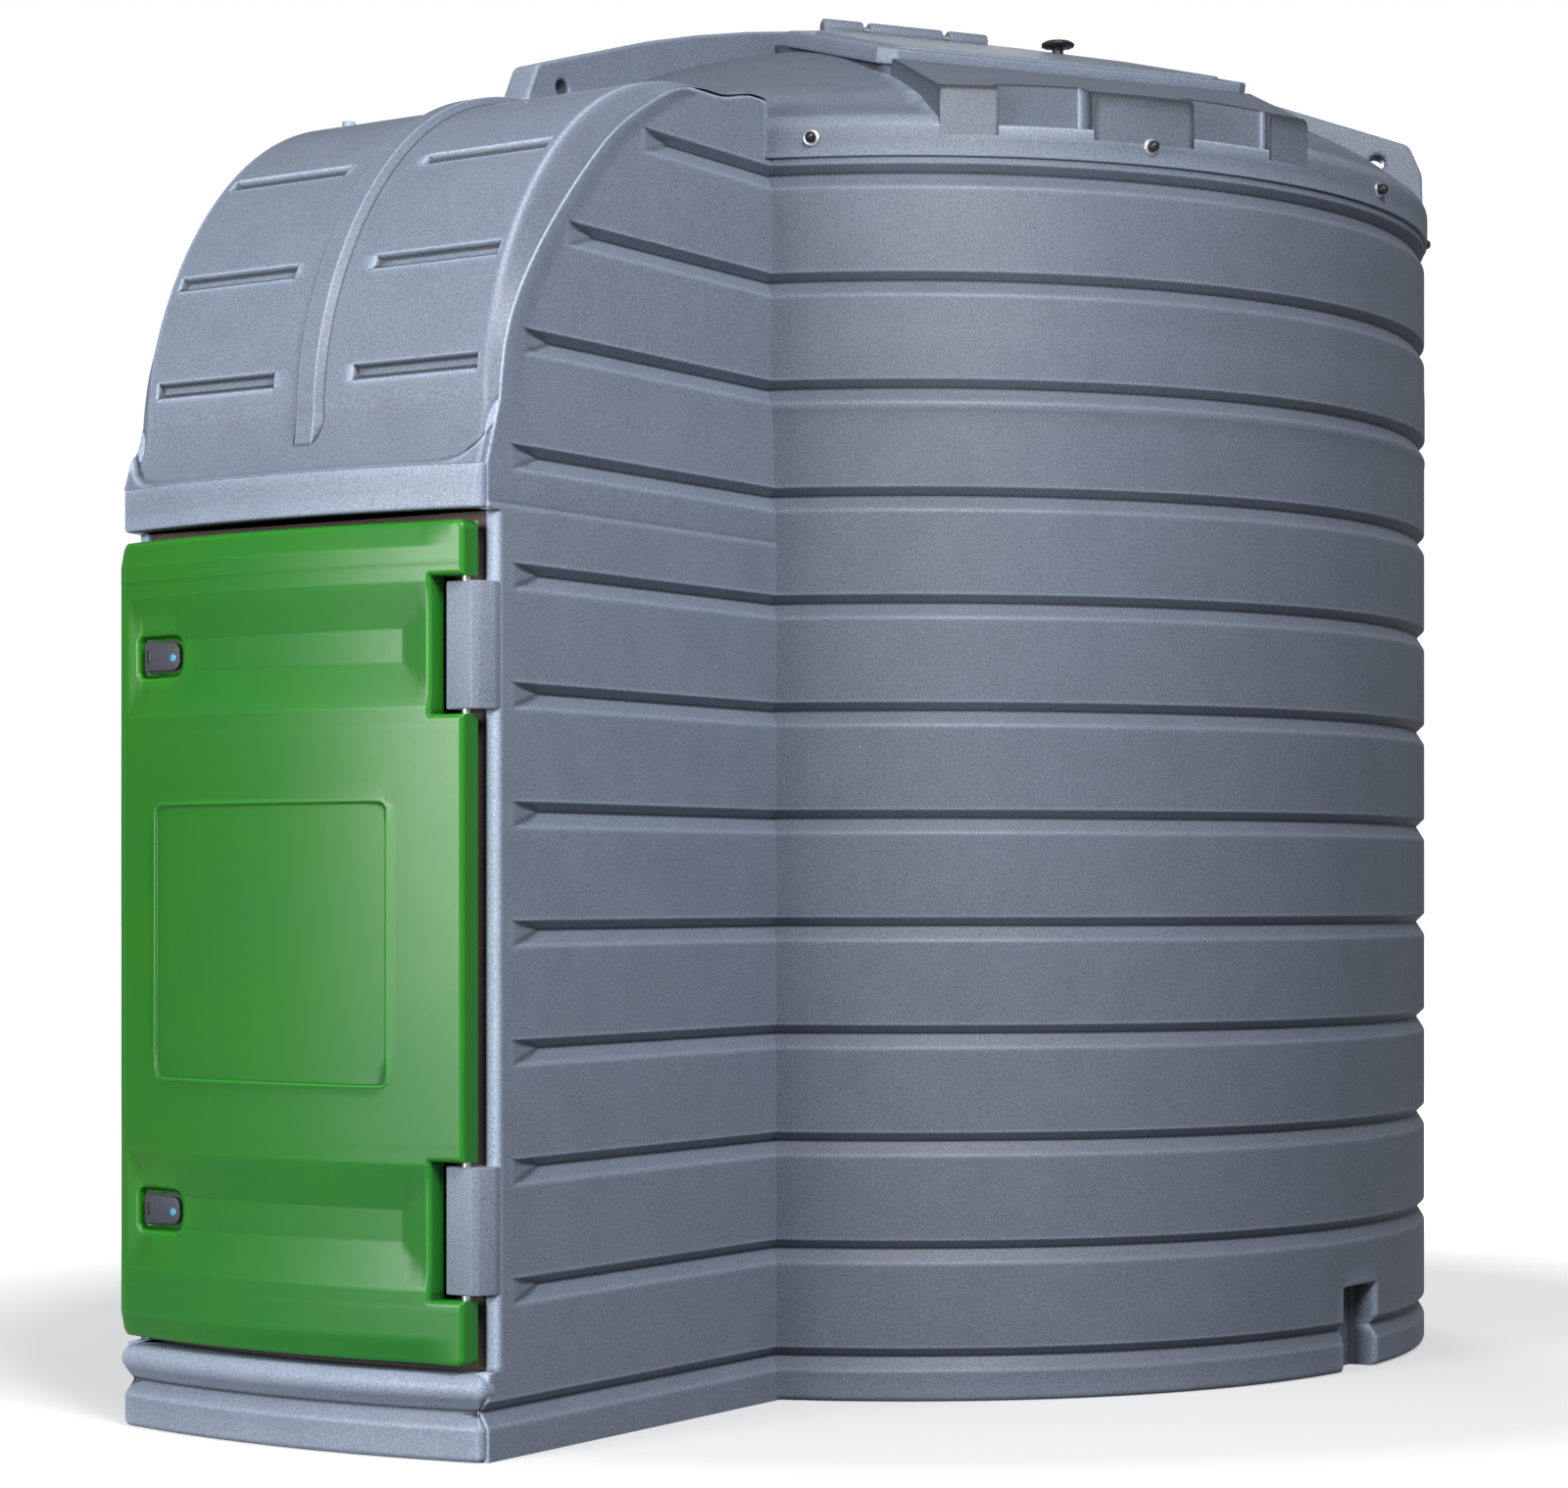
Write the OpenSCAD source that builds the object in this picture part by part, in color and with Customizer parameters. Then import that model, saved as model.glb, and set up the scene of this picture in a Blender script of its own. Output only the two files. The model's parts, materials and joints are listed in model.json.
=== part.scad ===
// Bunded diesel fuel tank: a grooved round barrel, a cabinet with a green door
// on its front, and a domed lid with a hinged hatch. Millimetres, +Z up.
// The origin is on the floor under the barrel's centre. The door faces -Y.

/* [Barrel] */
// Outer radius of the barrel's bands
barrel_r = 1200; // [900:10:1500]
// Thickness of the moulded walls
wall = 12; // [8:1:20]
// Height between two grooves
pitch = 210; // [160:5:260]
// Height of the lowest groove's middle
groove_low = 84; // [60:2:120]
// Number of grooves
groove_n = 12; // [6:1:14]
// Opening of a groove at the surface
groove_open = 50; // [30:2:70]
// Depth of a groove
groove_deep = 18; // [8:1:24]

/* [Cabinet] */
// Width over the cabinet's side walls
cab_w = 848; // [700:2:1000]
// Distance from the barrel's axis to the cabinet's front corners
front_y = 2060; // [1900:5:2300]
// Thickness of a cabinet side wall
side_t = 26; // [22:1:40]
// How far the middle of the front bows out
bow = 50; // [20:2:90]
// How far the doorway's frame lies behind the front corners
frame_in = 44; // [30:1:70]
// How far the door frame is set behind the front of the side walls
frame_set = 14; // [0:1:30]
// Underside of the brow, the top of the doorway
brow_z = 1665; // [1500:5:1800]
// Height of the brow's band
brow_h = 80; // [50:2:120]
// Top of the sill, the bottom of the doorway
sill_z = 155; // [120:5:220]
// Radius of the hood's curve
hood_r = 670; // [500:10:760]

/* [Hood relief] */
// Width of the rib down the middle
rib_w = 56; // [40:2:120]
// Height of the rib above the hood
rib_h = 14; // [6:1:20]
// Length of a slot, across the hood
slot_len = 285; // [150:5:320]
// Depth of a slot
slot_deep = 14; // [6:1:20]

/* [Door] */
// Thickness of the door
door_t = 44; // [34:1:60]
// Gap round the door
door_gap = 8; // [5:1:12]
// How far the door's face stands in front of the cabinet's front
door_proud = 8; // [0:1:20]
// Radius of the hinge pins
pin_r = 8; // [4:1:10]
// Radial play of a pin in what turns on it
pin_play = 0.08; // [0.02:0.01:0.1]
// Height of a hinge block
block_h = 226; // [160:2:280]

/* [Lid] */
// Height of the lid's skirt
skirt_h = 74; // [50:2:110]
// Height of the dome's top
dome_top = 2860; // [2700:5:3000]
// Radius of the dome's sphere
dome_r = 2290; // [1900:10:3000]
// Turn of the hatch's direction round the axis
lid_turn = -34; // [-90:1:90]
// Half of the width of the raised seat under the hatch
seat_w = 415; // [340:5:440]
// Slope of the seat and the hatch
hatch_tilt = 16; // [12:0.5:20]
// Thickness of the hatch cover
hatch_t = 30; // [20:1:45]
// Thickness of a lifting fin
fin_t = 74; // [50:2:90]

/* [Hidden] */
$fn = 96;
half_w = cab_w / 2;
groove_top = groove_low + pitch * (groove_n - 1);
skirt_z = groove_top + 34;              // lower edge of the skirt
lid_r = barrel_r + 8;                   // outside of the skirt
lid_z = skirt_z + skirt_h;              // joint of skirt and dome
neck_r = lid_r - wall;                  // barrel's neck, inside the skirt
barrel_h = dome_top - dome_r - 0.3      // top of the neck, under the dome
    + sqrt(pow(dome_r - wall, 2) - pow(neck_r - 6, 2));
join_y = sqrt(barrel_r * barrel_r - half_w * half_w);
join_a = asin(half_w / barrel_r);
bow_r = (half_w * half_w + bow * bow) / (2 * bow);
bow_y = front_y + bow - bow_r;          // axis of the bowed front, at -bow_y
frame_y = front_y - frame_in;
brow_top = brow_z + brow_h;
hood_y = front_y - 40 - hood_r;         // axis of the hood's curve, at -hood_y
hood_z = brow_top + 118;
bevel_y = hood_y - 339;                 // axis of the side grooves' ends beside the hood
bevel_z = hood_z - 331;
bevel_r = hood_r + 403;
hood_top = hood_z + hood_r;
seat_in = half_w - side_t;              // inner face of a side wall
door_r = bow_r + door_proud;            // radius of the door's face
door_lo = sill_z + 13;
door_hi = brow_z - 20;
door_left = half_w + 7;
door_right = half_w - 32;
hinge_x = door_right - 14;
notch_x = hinge_x - 51;                 // edge of the door's notches
hinge_y = frame_y + 30;
block_z = [door_lo + 121, door_hi - 331];
latch_z = [door_lo + 240, door_hi - 216];
latch_x = -313;
trough_deep = 18;
latch_y = bow_y + sqrt(pow(door_r - trough_deep, 2) - latch_x * latch_x);
latch_pin_x = latch_x + 40;
far = 4000;
dome_c = dome_top - dome_r;             // height of the dome's sphere centre
hatch_a = 905;                          // the hatch's outer edge from the axis
hatch_hinge_a = 80;                     // the hatch's hinge from the axis
hatch_gap = 6;                          // gap under the hatch cover
seat_edge = 2544;                       // height of the seat's outer corner
seat_at = 2650;                         // height of the seat under that edge
hatch_hinge_z = seat_at + (hatch_a - hatch_hinge_a) * tan(hatch_tilt)
    + hatch_gap + hatch_t + 8;
knuckle_r = 18;
knob_at = [300, 275];
bolt_z = skirt_z + skirt_h / 2;
moulded = [0.42, 0.46, 0.53];
moulded_dark = [0.33, 0.37, 0.44];
green = [0.05, 0.5, 0.16];
black = [0.06, 0.06, 0.07];
steel = [0.72, 0.73, 0.74];

// Section of one groove, cut into a face that lies along the y axis.
module vee(deep = groove_deep, open = groove_open) {
    slope = open / 2 / deep;
    polygon([[2, open / 2 + 2 * slope - 2], [-deep, 5],
        [-deep, -5], [2, -open / 2 - 2 * slope + 2]]);
}

// Section of the barrel's wall, bent inwards behind each groove.
module barrel_section() {
    difference() {
        union() {
            translate([barrel_r - wall, 0]) square([wall, skirt_z - 6]);
            translate([neck_r - wall - 6, skirt_z - 30]) square([wall, barrel_h - skirt_z + 30]);
            translate([neck_r - wall - 6, skirt_z - 30]) square([barrel_r - neck_r + wall, wall]);
            for (k = [0 : groove_n - 1]) translate([barrel_r - wall, groove_low + k * pitch])
                vee(groove_deep, groove_open + 8);
        }
        for (k = [0 : groove_n - 1]) translate([barrel_r, groove_low + k * pitch]) vee();
        translate([barrel_r, 0]) rotate(45) square(24, center = true);
    }
}

// Part of the barrel between two angles, with a hair's gap to the next one.
module barrel_part(from, to) {
    rotate([0, 0, from + 0.01]) rotate_extrude(angle = to - from - 0.02, $fn = 180) barrel_section();
}

// Lifting and tying pocket in the foot of the barrel, at an angle.
module foot_pocket(angle, grow = 0) {
    rotate([0, 0, angle]) translate([barrel_r - 60 - grow, 0, -1]) linear_extrude(178 + grow)
        polygon([[0, -30 - grow], [90 + grow, -95 - grow], [90 + grow, 70 + grow],
            [0, 70 + grow]]);
}

module barrel_side(from, to, angle) {
    difference() {
        union() {
            barrel_part(from, to);
            intersection() {
                foot_pocket(angle, wall);
                cylinder(r = barrel_r - 2, h = 190, $fn = 180);
                translate([-far / 2, -far / 2, 0]) cube([far, far, 400]);
            }
        }
        foot_pocket(angle);
    }
}

module barrel_wall_right() {
    color(moulded) difference() {
        barrel_side(join_a - 90, 37, -3.8);
        translate([0, 0, lid_z - 0.5]) lid_frame() linear_extrude(far) seat_plan(-1);
    }
}

module barrel_wall_back() {
    color(moulded) barrel_side(37, 143, 90);
}

module barrel_wall_left() {
    color(moulded) mirror([1, 0, 0]) barrel_side(join_a - 90, 37, -3.8);
}

module barrel_wall_front() {
    color(moulded_dark) barrel_part(-90 - join_a, join_a - 90);
}

module barrel_floor() {
    color(moulded_dark) difference() {
        cylinder(r = barrel_r - wall, h = wall, $fn = 180);
        for (a = [-3.8, 90]) foot_pocket(a, wall);
        mirror([1, 0, 0]) foot_pocket(-3.8, wall);
    }
}

// The inner tank stands free inside the barrel, which is its bund.
inner_r = barrel_r - 100;
inner_h = barrel_h - 120;

module inner_wall() {
    color(moulded_dark) translate([0, 0, wall]) difference() {
        cylinder(r = inner_r, h = inner_h - wall, $fn = 180);
        translate([0, 0, wall]) cylinder(r = inner_r - wall, h = inner_h, $fn = 180);
    }
}

module inner_roof() {
    color(moulded_dark) translate([0, 0, inner_h]) rotate_extrude($fn = 180) {
        square([inner_r, wall]);
        translate([inner_r - 40, 0]) square([40, 30]);
    }
}

// Outline of a cabinet side wall, seen from the side: x runs to the rear,
// into the barrel, whose round is cut from it later.
module side_outline() {
    rear = join_y - 6;
    translate([-front_y, 0]) square([front_y - rear, sill_z]);
    translate([-frame_y, 0]) square([frame_y - rear, hood_z]);
    translate([-front_y, brow_z]) square([front_y - rear, brow_h]);
    intersection() {
        translate([-hood_y, hood_z]) circle(r = hood_r, $fn = 180);
        translate([-front_y, brow_top]) square([front_y - rear, far]);
    }
    translate([-hood_y, hood_z]) square([hood_y - rear, hood_r]);
}

// Front end of a side groove at a height: it keeps its distance to the front.
function tip_y(z) = z < hood_z ? frame_y - 40
    : bevel_y + sqrt(pow(bevel_r - 50, 2) - pow(min(z, hood_top - 100) - bevel_z, 2));

// One groove along a side wall, running out to a point at its front end.
module side_groove(z, tip, run = 90) {
    translate([half_w, -tip + run, z]) rotate([-90, 0, 0]) linear_extrude(far) vee();
    if (run > 0) translate([half_w, -tip + run + 1, z])
        rotate([90, 0, -atan((groove_deep + 2) / run)]) linear_extrude(run + 12) vee();
}

module cabinet_side_right() {
    color(moulded) difference() {
        translate([seat_in, 0, 0]) rotate([90, 0, 90]) linear_extrude(side_t) side_outline();
        for (k = [1 : groove_n - 1]) side_groove(groove_low + k * pitch, tip_y(groove_low + k * pitch));
        side_groove(groove_low, far / 2, 0);
        cylinder(r = barrel_r, h = far, $fn = 180);
        translate([0, 0, skirt_z - 6]) cylinder(r = lid_r + 6, h = far, $fn = 180);
    }
}

module cabinet_side_left() {
    mirror([1, 0, 0]) cabinet_side_right();
}

// A band bent round the bowed front, from a section drawn at its radius.
module bowed(width) {
    intersection() {
        translate([0, -bow_y, 0]) rotate([0, 0, -110]) rotate_extrude(angle = 40, $fn = 240) children();
        translate([-width, -far, -1]) cube([2 * width, far, far]);
    }
}

module cabinet_plinth() {
    color(moulded) bowed(seat_in) difference() {
        union() {
            translate([bow_r - wall, 0]) square([wall, sill_z - 12]);
            translate([bow_r - 20, sill_z - 31]) circle(r = 26, $fn = 48);
            translate([bow_r - 90, sill_z - 12]) square([84, 12]);
            translate([bow_r - wall, groove_low]) vee(groove_deep, groove_open);
        }
        translate([bow_r, groove_low]) vee();
        translate([bow_r, 0]) rotate(45) square(16, center = true);
    }
}

module cabinet_floor() {
    color(moulded_dark) difference() {
        intersection() {
            translate([-seat_in, -front_y, sill_z - 12]) cube([2 * seat_in, front_y - join_y + 120, 12]);
            translate([0, -bow_y, 0]) cylinder(r = bow_r - 90, h = far, $fn = 240);
        }
        cylinder(r = barrel_r, h = far, $fn = 180);
    }
}

module cabinet_brow() {
    color(moulded) difference() {
        bowed(seat_in) difference() {
            translate([bow_r - 110, brow_z]) square([110, brow_h + 60]);
            translate([bow_r - 8, brow_top + 66]) circle(r = 68, $fn = 64);
            translate([bow_r - 98, brow_z - 1]) square([86, brow_h - 12]);
        }
        translate([-far / 2, 20 - frame_y, 0]) cube([far, far, far]);
    }
}

// The hood's curve and flat top, seen from the side, up to a radius.
module hood_outline(r) {
    intersection() {
        translate([-hood_y, hood_z]) circle(r = r, $fn = 180);
        translate([-far, brow_top + 60]) square([far - hood_y, far]);
    }
    translate([-hood_y, brow_top + 60]) square([hood_y, hood_z - brow_top - 60 + r]);
}

module across(width) {
    translate([-width / 2, 0, 0]) rotate([90, 0, 90]) linear_extrude(width) children();
}

// One slot, sunk into the hood's panel at an angle above the level.
module hood_slot(x, angle) {
    translate([x, -hood_y, hood_z]) rotate([-angle, 0, 0])
        translate([-slot_len / 2, -hood_r - 4, -13]) cube([slot_len, slot_deep + 4, 26]);
}

module cabinet_hood() {
    color(moulded) difference() {
        across(2 * seat_in) hood_outline(hood_r);
        across(2 * far) hood_outline(hood_r - slot_deep - wall);
        for (side = [-1, 1], angle = [5.7, 24.6, 46.9]) hood_slot(side * (92 + slot_len / 2), angle);
        translate([0, 0, -1]) cylinder(r = lid_r + 6, h = far, $fn = 180);
    }
}

// Section of the rib: x is the distance from the axis of the hood's curve.
module rib_section() {
    polygon([[hood_r, -rib_w / 2], [hood_r + rib_h, 8 - rib_w / 2],
        [hood_r + rib_h, rib_w / 2 - 8], [hood_r, rib_w / 2]]);
}

module hood_rib() {
    color(moulded) difference() {
        translate([0, -hood_y, hood_z]) {
            rotate([0, 90, 0]) rotate([0, 0, 180]) rotate_extrude(angle = 94.8, $fn = 180) rib_section();
            rotate([-90, 0, 0]) linear_extrude(hood_y) rotate(-90) rib_section();
        }
        translate([0, 0, -1]) cylinder(r = lid_r + 6, h = far, $fn = 180);
    }
}

module door_frame() {
    color(moulded_dark) difference() {
        translate([-seat_in, frame_set - frame_y, sill_z]) cube([2 * seat_in, 20, brow_z - sill_z]);
        translate([-seat_in + 70, frame_set - frame_y - 1, sill_z + 45])
            cube([2 * seat_in - 150, 22, brow_z - sill_z - 90]);
    }
}

// A block of the cabinet's corner, seated on the door frame.
module hinge_block(z) {
    color(moulded) difference() {
        translate([0, 0, z]) linear_extrude(block_h) polygon([[notch_x + 9, frame_set - frame_y],
            [notch_x + 9, -hinge_y - 6], [notch_x + 15, -hinge_y - 12], [hinge_x + 18, -hinge_y - 11],
            [hinge_x + 28, -hinge_y - 5], [half_w, -frame_y - 7], [half_w, -frame_y],
            [seat_in, -frame_y], [seat_in, frame_set - frame_y]]);
        translate([hinge_x, -hinge_y, z - 1]) cylinder(r = pin_r, h = block_h + 2);
    }
}

module hinge_block_upper() {
    hinge_block(block_z[1]);
}

module hinge_block_lower() {
    hinge_block(block_z[0]);
}

module hinge_pins() {
    color(steel) for (z = block_z) translate([hinge_x, -hinge_y, z - 60])
        cylinder(r = pin_r, h = block_h + 120);
}

// Trough across the door, its ends and sides sloping in to a flat band.
module door_trough(z) {
    intersection() {
        bowed(door_left) polygon([[door_r + 4, z + 130], [door_r, z + 111], [door_r - trough_deep, z + 29],
            [door_r - trough_deep, z - 29], [door_r, z - 111], [door_r + 4, z - 130]]);
        translate([350, -bow_y - sqrt(door_r * door_r - 350 * 350), 0]) rotate([0, 0, 24])
            translate([-far, -far / 2, 0]) cube([far, far, far]);
        translate([350, -bow_y - sqrt(door_r * door_r - 350 * 350), 0]) rotate([0, 0, 24 - 90])
            translate([-far / 2, -far, 0]) cube([far, far, far]);
    }
}

module latch_pocket(z) {
    translate([latch_x - 58, -latch_y - 60, z - 37]) cube([116, 76, 74]);
}

module door() {
    color(green) difference() {
        bowed(door_left) polygon([[door_r - door_t, door_lo], [door_r - 14, door_lo],
            [door_r, door_lo + 46], [door_r, door_hi - 46], [door_r - 14, door_hi],
            [door_r - door_t, door_hi]]);
        translate([door_right, -far, 0]) cube([far, far, far]);
        for (z = block_z) translate([notch_x, -far, z - door_gap])
            cube([far, far, block_h + 2 * door_gap]);
        translate([hinge_x, -hinge_y, 0]) cylinder(r = pin_r + pin_play, h = far);
        for (z = [door_lo + 240, door_hi - 216]) door_trough(z);
        bowed(door_left) translate([door_r - 3, door_lo + 484]) square([20, 501]);
        for (z = latch_z) latch_pocket(z);
    }
}

// Base of a latch, with two ears that carry the lever's pin.
module latch_tray(z) {
    color(black) difference() {
        union() {
            translate([latch_x - 48, -latch_y + 10, z - 31]) cube([96, 6, 62]);
            for (side = [-1, 1]) translate([latch_pin_x - 6, -latch_y - 3, z + side * 28.5 - 2.5]) cube([12, 14, 5]);
        }
        translate([latch_pin_x, -latch_y + 1, z - 40]) cylinder(r = 2.5 + pin_play, h = 80, $fn = 32);
    }
}

module latch_tray_upper() {
    latch_tray(latch_z[1]);
}

module latch_tray_lower() {
    latch_tray(latch_z[0]);
}

module latch_lever(z) {
    color(black) {
        translate([latch_x - 46, -latch_y - 3, z - 25]) cube([92, 8, 50]);
        translate([latch_pin_x, -latch_y + 1, z - 31]) cylinder(r = 2.5, h = 62, $fn = 32);
    }
}

module latch_lever_upper() {
    latch_lever(latch_z[1]);
}

module latch_lever_lower() {
    latch_lever(latch_z[0]);
}

module lid_skirt() {
    color(moulded) translate([0, 0, skirt_z]) difference() {
        cylinder(r = lid_r, h = skirt_h, $fn = 180);
        translate([0, 0, -1]) cylinder(r = neck_r, h = skirt_h + 2, $fn = 180);
    }
}

// Plan of the hatch's seat, wide at the rim and narrow at the hinge.
module seat_plan(inset) {
    polygon([[50 + inset, -215 + inset], [110, -215 + inset], [400, -seat_w + inset],
        [far, -seat_w + inset], [far, seat_w - inset], [400, seat_w - inset],
        [110, 215 - inset], [50 + inset, 215 - inset]]);
}

// The raised seat of the hatch as a solid, drawn inwards by an inset, with
// two pads sunk in its outer edge.
module seat_block(inset) {
    difference() {
        intersection() {
            rotate([90, 0, 0]) translate([0, 0, -seat_w]) linear_extrude(2 * seat_w)
                polygon([[50, lid_z - inset], [50, seat_at + 855 * tan(hatch_tilt) - inset],
                    [hatch_a + 30, seat_at - 30 * tan(hatch_tilt) - inset],
                    [lid_r, seat_edge - inset], [lid_r, lid_z - inset]]);
            linear_extrude(far) seat_plan(inset);
            cylinder(r = lid_r - inset, h = far, $fn = 180);
        }
        for (side = [-1, 1]) translate([lid_r - 66 - inset, side * 208 - 93 - inset, lid_z - 6 - inset])
            cube([200, 186 + 2 * inset, 200]);
    }
}

// The ball of the dome, where the seat doesn't stand.
module dome_ball() {
    difference() {
        translate([0, 0, dome_c]) sphere(r = dome_r, $fn = 180);
        linear_extrude(far) seat_plan(wall);
    }
}

module lid_frame() {
    rotate([0, 0, lid_turn]) children();
}

module lid_dome() {
    color(moulded) difference() {
        intersection() {
            translate([0, 0, dome_c]) sphere(r = dome_r, $fn = 180);
            translate([0, 0, lid_z]) cylinder(r1 = lid_r + 4, r2 = lid_r - 500, h = 504, $fn = 180);
            translate([0, 0, lid_z]) cylinder(r = lid_r, h = 600, $fn = 180);
        }
        intersection() {
            translate([0, 0, dome_c]) sphere(r = dome_r - wall, $fn = 180);
            cylinder(r = neck_r, h = far, $fn = 180);
        }
        lid_frame() linear_extrude(far) seat_plan(wall);
    }
}

module hatch_seat() {
    color(moulded) lid_frame() difference() {
        seat_block(0);
        seat_block(wall);
        dome_ball();
        translate([240, -280, 0]) cube([540, 560, far]);
    }
}

module lifting_fins() {
    color(moulded) difference() {
        lid_frame() for (a = [-64, 64, 180]) rotate([0, 0, a]) rotate([90, 0, 0])
            translate([0, 0, -fin_t / 2]) linear_extrude(fin_t) difference() {
                polygon([[360, dome_top - 200], [360, dome_top + 27], [520, dome_top - 3],
                    [687, dome_top - 40], [840, dome_top - 81], [987, dome_top - 126],
                    [1146, dome_top - 178], [1187, dome_top - 207], [lid_r - 6, dome_top - 250],
                    [lid_r - 4, lid_z], [lid_r - 4, lid_z - 100]]);
                translate([1100, dome_top - 222]) circle(r = 17, $fn = 40);
            }
        translate([0, 0, dome_c]) sphere(r = dome_r, $fn = 180);
        translate([0, 0, -1]) cylinder(r = far, h = lid_z + 1, $fn = 180);
    }
}

module hatch_posts() {
    color(moulded) lid_frame() for (side = [-1, 1]) difference() {
        translate([hatch_hinge_a, side * 155, hatch_hinge_z]) rotate([90, 0, 0]) linear_extrude(95, center = true)
            difference() {
                union() {
                    circle(r = knuckle_r);
                    translate([-knuckle_r, -60]) square([2 * knuckle_r, 60]);
                }
                circle(r = pin_r);
            }
        seat_block(0);
    }
}

module hatch_pin() {
    color(steel) lid_frame() translate([hatch_hinge_a, 0, hatch_hinge_z]) rotate([90, 0, 0])
        cylinder(r = pin_r, h = 405, center = true);
}

// Outline of the hatch cover, seen from above, narrowing to its hinge.
module hatch_outline(inset = 0) {
    polygon([[124 + inset, -230 + inset], [414, -435 + inset], [872, -435 + inset],
        [hatch_a - inset, -402 + inset], [hatch_a - inset, 402 - inset], [872, 435 - inset],
        [414, 435 - inset], [124 + inset, 230 - inset]]);
}

module hatch_cover() {
    color(moulded) lid_frame() difference() {
        union() {
            intersection() {
                linear_extrude(far) hatch_outline();
                hatch_slab(0, hatch_t, 500);
            }
            translate([hatch_hinge_a, 0, hatch_hinge_z]) rotate([90, 0, 0])
                linear_extrude(180, center = true) {
                    circle(r = knuckle_r);
                    rotate(-hatch_tilt) translate([0, -20]) square([90, 20]);
                }
        }
        intersection() {
            linear_extrude(far) hatch_outline(14);
            hatch_slab(-10, hatch_t - 12, 486);
        }
        translate([hatch_hinge_a, 0, hatch_hinge_z]) rotate([90, 0, 0])
            cylinder(r = pin_r + pin_play, h = 500, center = true);
        translate([knob_at[0], knob_at[1], 0]) cylinder(r = 9, h = far);
    }
}

// Slab along the hatch's slope, from one height above the seat to another.
module hatch_slab(from, to, half) {
    translate([hatch_a, 0, seat_at + hatch_gap]) rotate([0, hatch_tilt, 0])
        translate([-1200, -half, from]) cube([1400, 2 * half, to - from]);
}

module hatch_knob() {
    z = seat_at + (hatch_a - knob_at[0]) * tan(hatch_tilt) + hatch_gap + hatch_t;
    color(black) lid_frame() translate([knob_at[0], knob_at[1], z]) {
        translate([0, 0, -26]) cylinder(r = 8.92, h = 40);
        translate([0, 0, 8]) cylinder(r = 13, h = 26);
        translate([0, 0, 32]) cylinder(r = 38, h = 14);
    }
}

module rim_ring(from, to, r) {
    for (side = [-1, 1], i = [0 : 4]) rotate([0, 0, -90 + side * (24 + 32.6 * i)])
        translate([lid_r - 2, 0, bolt_z]) rotate([0, 90, 0])
            translate([0, 0, from + 2]) cylinder(r = r, h = to - from, $fn = 32);
}

module rim_washers() {
    color(steel) rim_ring(0, 4, 17);
}

module rim_bolts() {
    color(black) rim_ring(4, 22, 11);
}

barrel_wall_right();
barrel_wall_back();
barrel_wall_left();
barrel_wall_front();
barrel_floor();
inner_wall();
inner_roof();
cabinet_side_right();
cabinet_side_left();
cabinet_plinth();
cabinet_floor();
cabinet_brow();
cabinet_hood();
hood_rib();
door_frame();
hinge_block_upper();
hinge_block_lower();
hinge_pins();
door();
latch_tray_upper();
latch_tray_lower();
latch_lever_upper();
latch_lever_lower();
lid_skirt();
lid_dome();
hatch_seat();
lifting_fins();
hatch_posts();
hatch_pin();
hatch_cover();
hatch_knob();
rim_washers();
rim_bolts();
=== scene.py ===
import json
import math

import bmesh
import bpy
from mathutils import Matrix, Vector


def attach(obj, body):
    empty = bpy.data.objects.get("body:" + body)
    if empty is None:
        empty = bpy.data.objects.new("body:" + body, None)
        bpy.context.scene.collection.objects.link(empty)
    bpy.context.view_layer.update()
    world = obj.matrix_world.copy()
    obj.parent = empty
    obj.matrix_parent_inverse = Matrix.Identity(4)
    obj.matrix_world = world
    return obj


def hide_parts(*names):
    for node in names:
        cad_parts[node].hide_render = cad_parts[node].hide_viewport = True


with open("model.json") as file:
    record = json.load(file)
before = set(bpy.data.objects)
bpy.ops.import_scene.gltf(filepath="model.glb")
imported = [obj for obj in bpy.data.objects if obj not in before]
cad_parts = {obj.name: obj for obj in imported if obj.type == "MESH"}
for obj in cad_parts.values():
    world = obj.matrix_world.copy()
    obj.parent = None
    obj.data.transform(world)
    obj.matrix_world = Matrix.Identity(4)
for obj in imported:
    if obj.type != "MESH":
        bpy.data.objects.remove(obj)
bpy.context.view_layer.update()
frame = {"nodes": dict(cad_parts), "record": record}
print("stage: frame loaded")

deg = math.radians

# sizes in metres, the same as the CAD's; y runs back, so the front is at negative y
barrel = {"radius": 1.2, "skin": 0.0007, "foot": 0.014, "pitch": 0.21, "low": 0.084, "count": 12,
          "shelf": (1.930, 1.942, 2.1), "shelfOut": 0.0012}
groove = {"deep": 0.018, "above": 0.0215, "upperFace": 0.0175, "below": 0.0245, "lowerFace": 0.0285,
          "reach": 0.04,
          "rows": [-0.034, -0.0295, -0.0275, -0.0255, -0.0235, -0.0215, -0.019, -0.014, -0.009, -0.004,
                   0.0, 0.0018, 0.0035, 0.0052, 0.007, 0.011, 0.016, 0.0185, 0.020, 0.0215, 0.0235,
                   0.026, 0.031]}
cabinet = {"half": 0.424, "front": 2.06, "bow": 0.05, "frame": 2.016, "brow": 1.665, "browTop": 1.745,
           "sill": 0.155, "corner": 0.014, "back": 1.09, "topBack": 1.146, "lidFoot": 2.424}
cabinet["bowRadius"] = (cabinet["half"] ** 2 + cabinet["bow"] ** 2) / (2 * cabinet["bow"])
cabinet["bowAxis"] = cabinet["front"] + cabinet["bow"] - cabinet["bowRadius"]


def ramp(low, high, value):  # 0 below low, 1 above high, straight between
    return min(1.0, max(0.0, (value - low) / (high - low)))


def smooth(low, high, value):  # the same with soft ends
    t = ramp(low, high, value)
    return t * t * (3 - 2 * t)


def softStep(x, width=0.2):  # x where positive, 0 where negative, round at the bend
    if x <= -width:
        return 0.0
    if x >= width:
        return x
    return (x + width) ** 2 / (4 * width)


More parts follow.
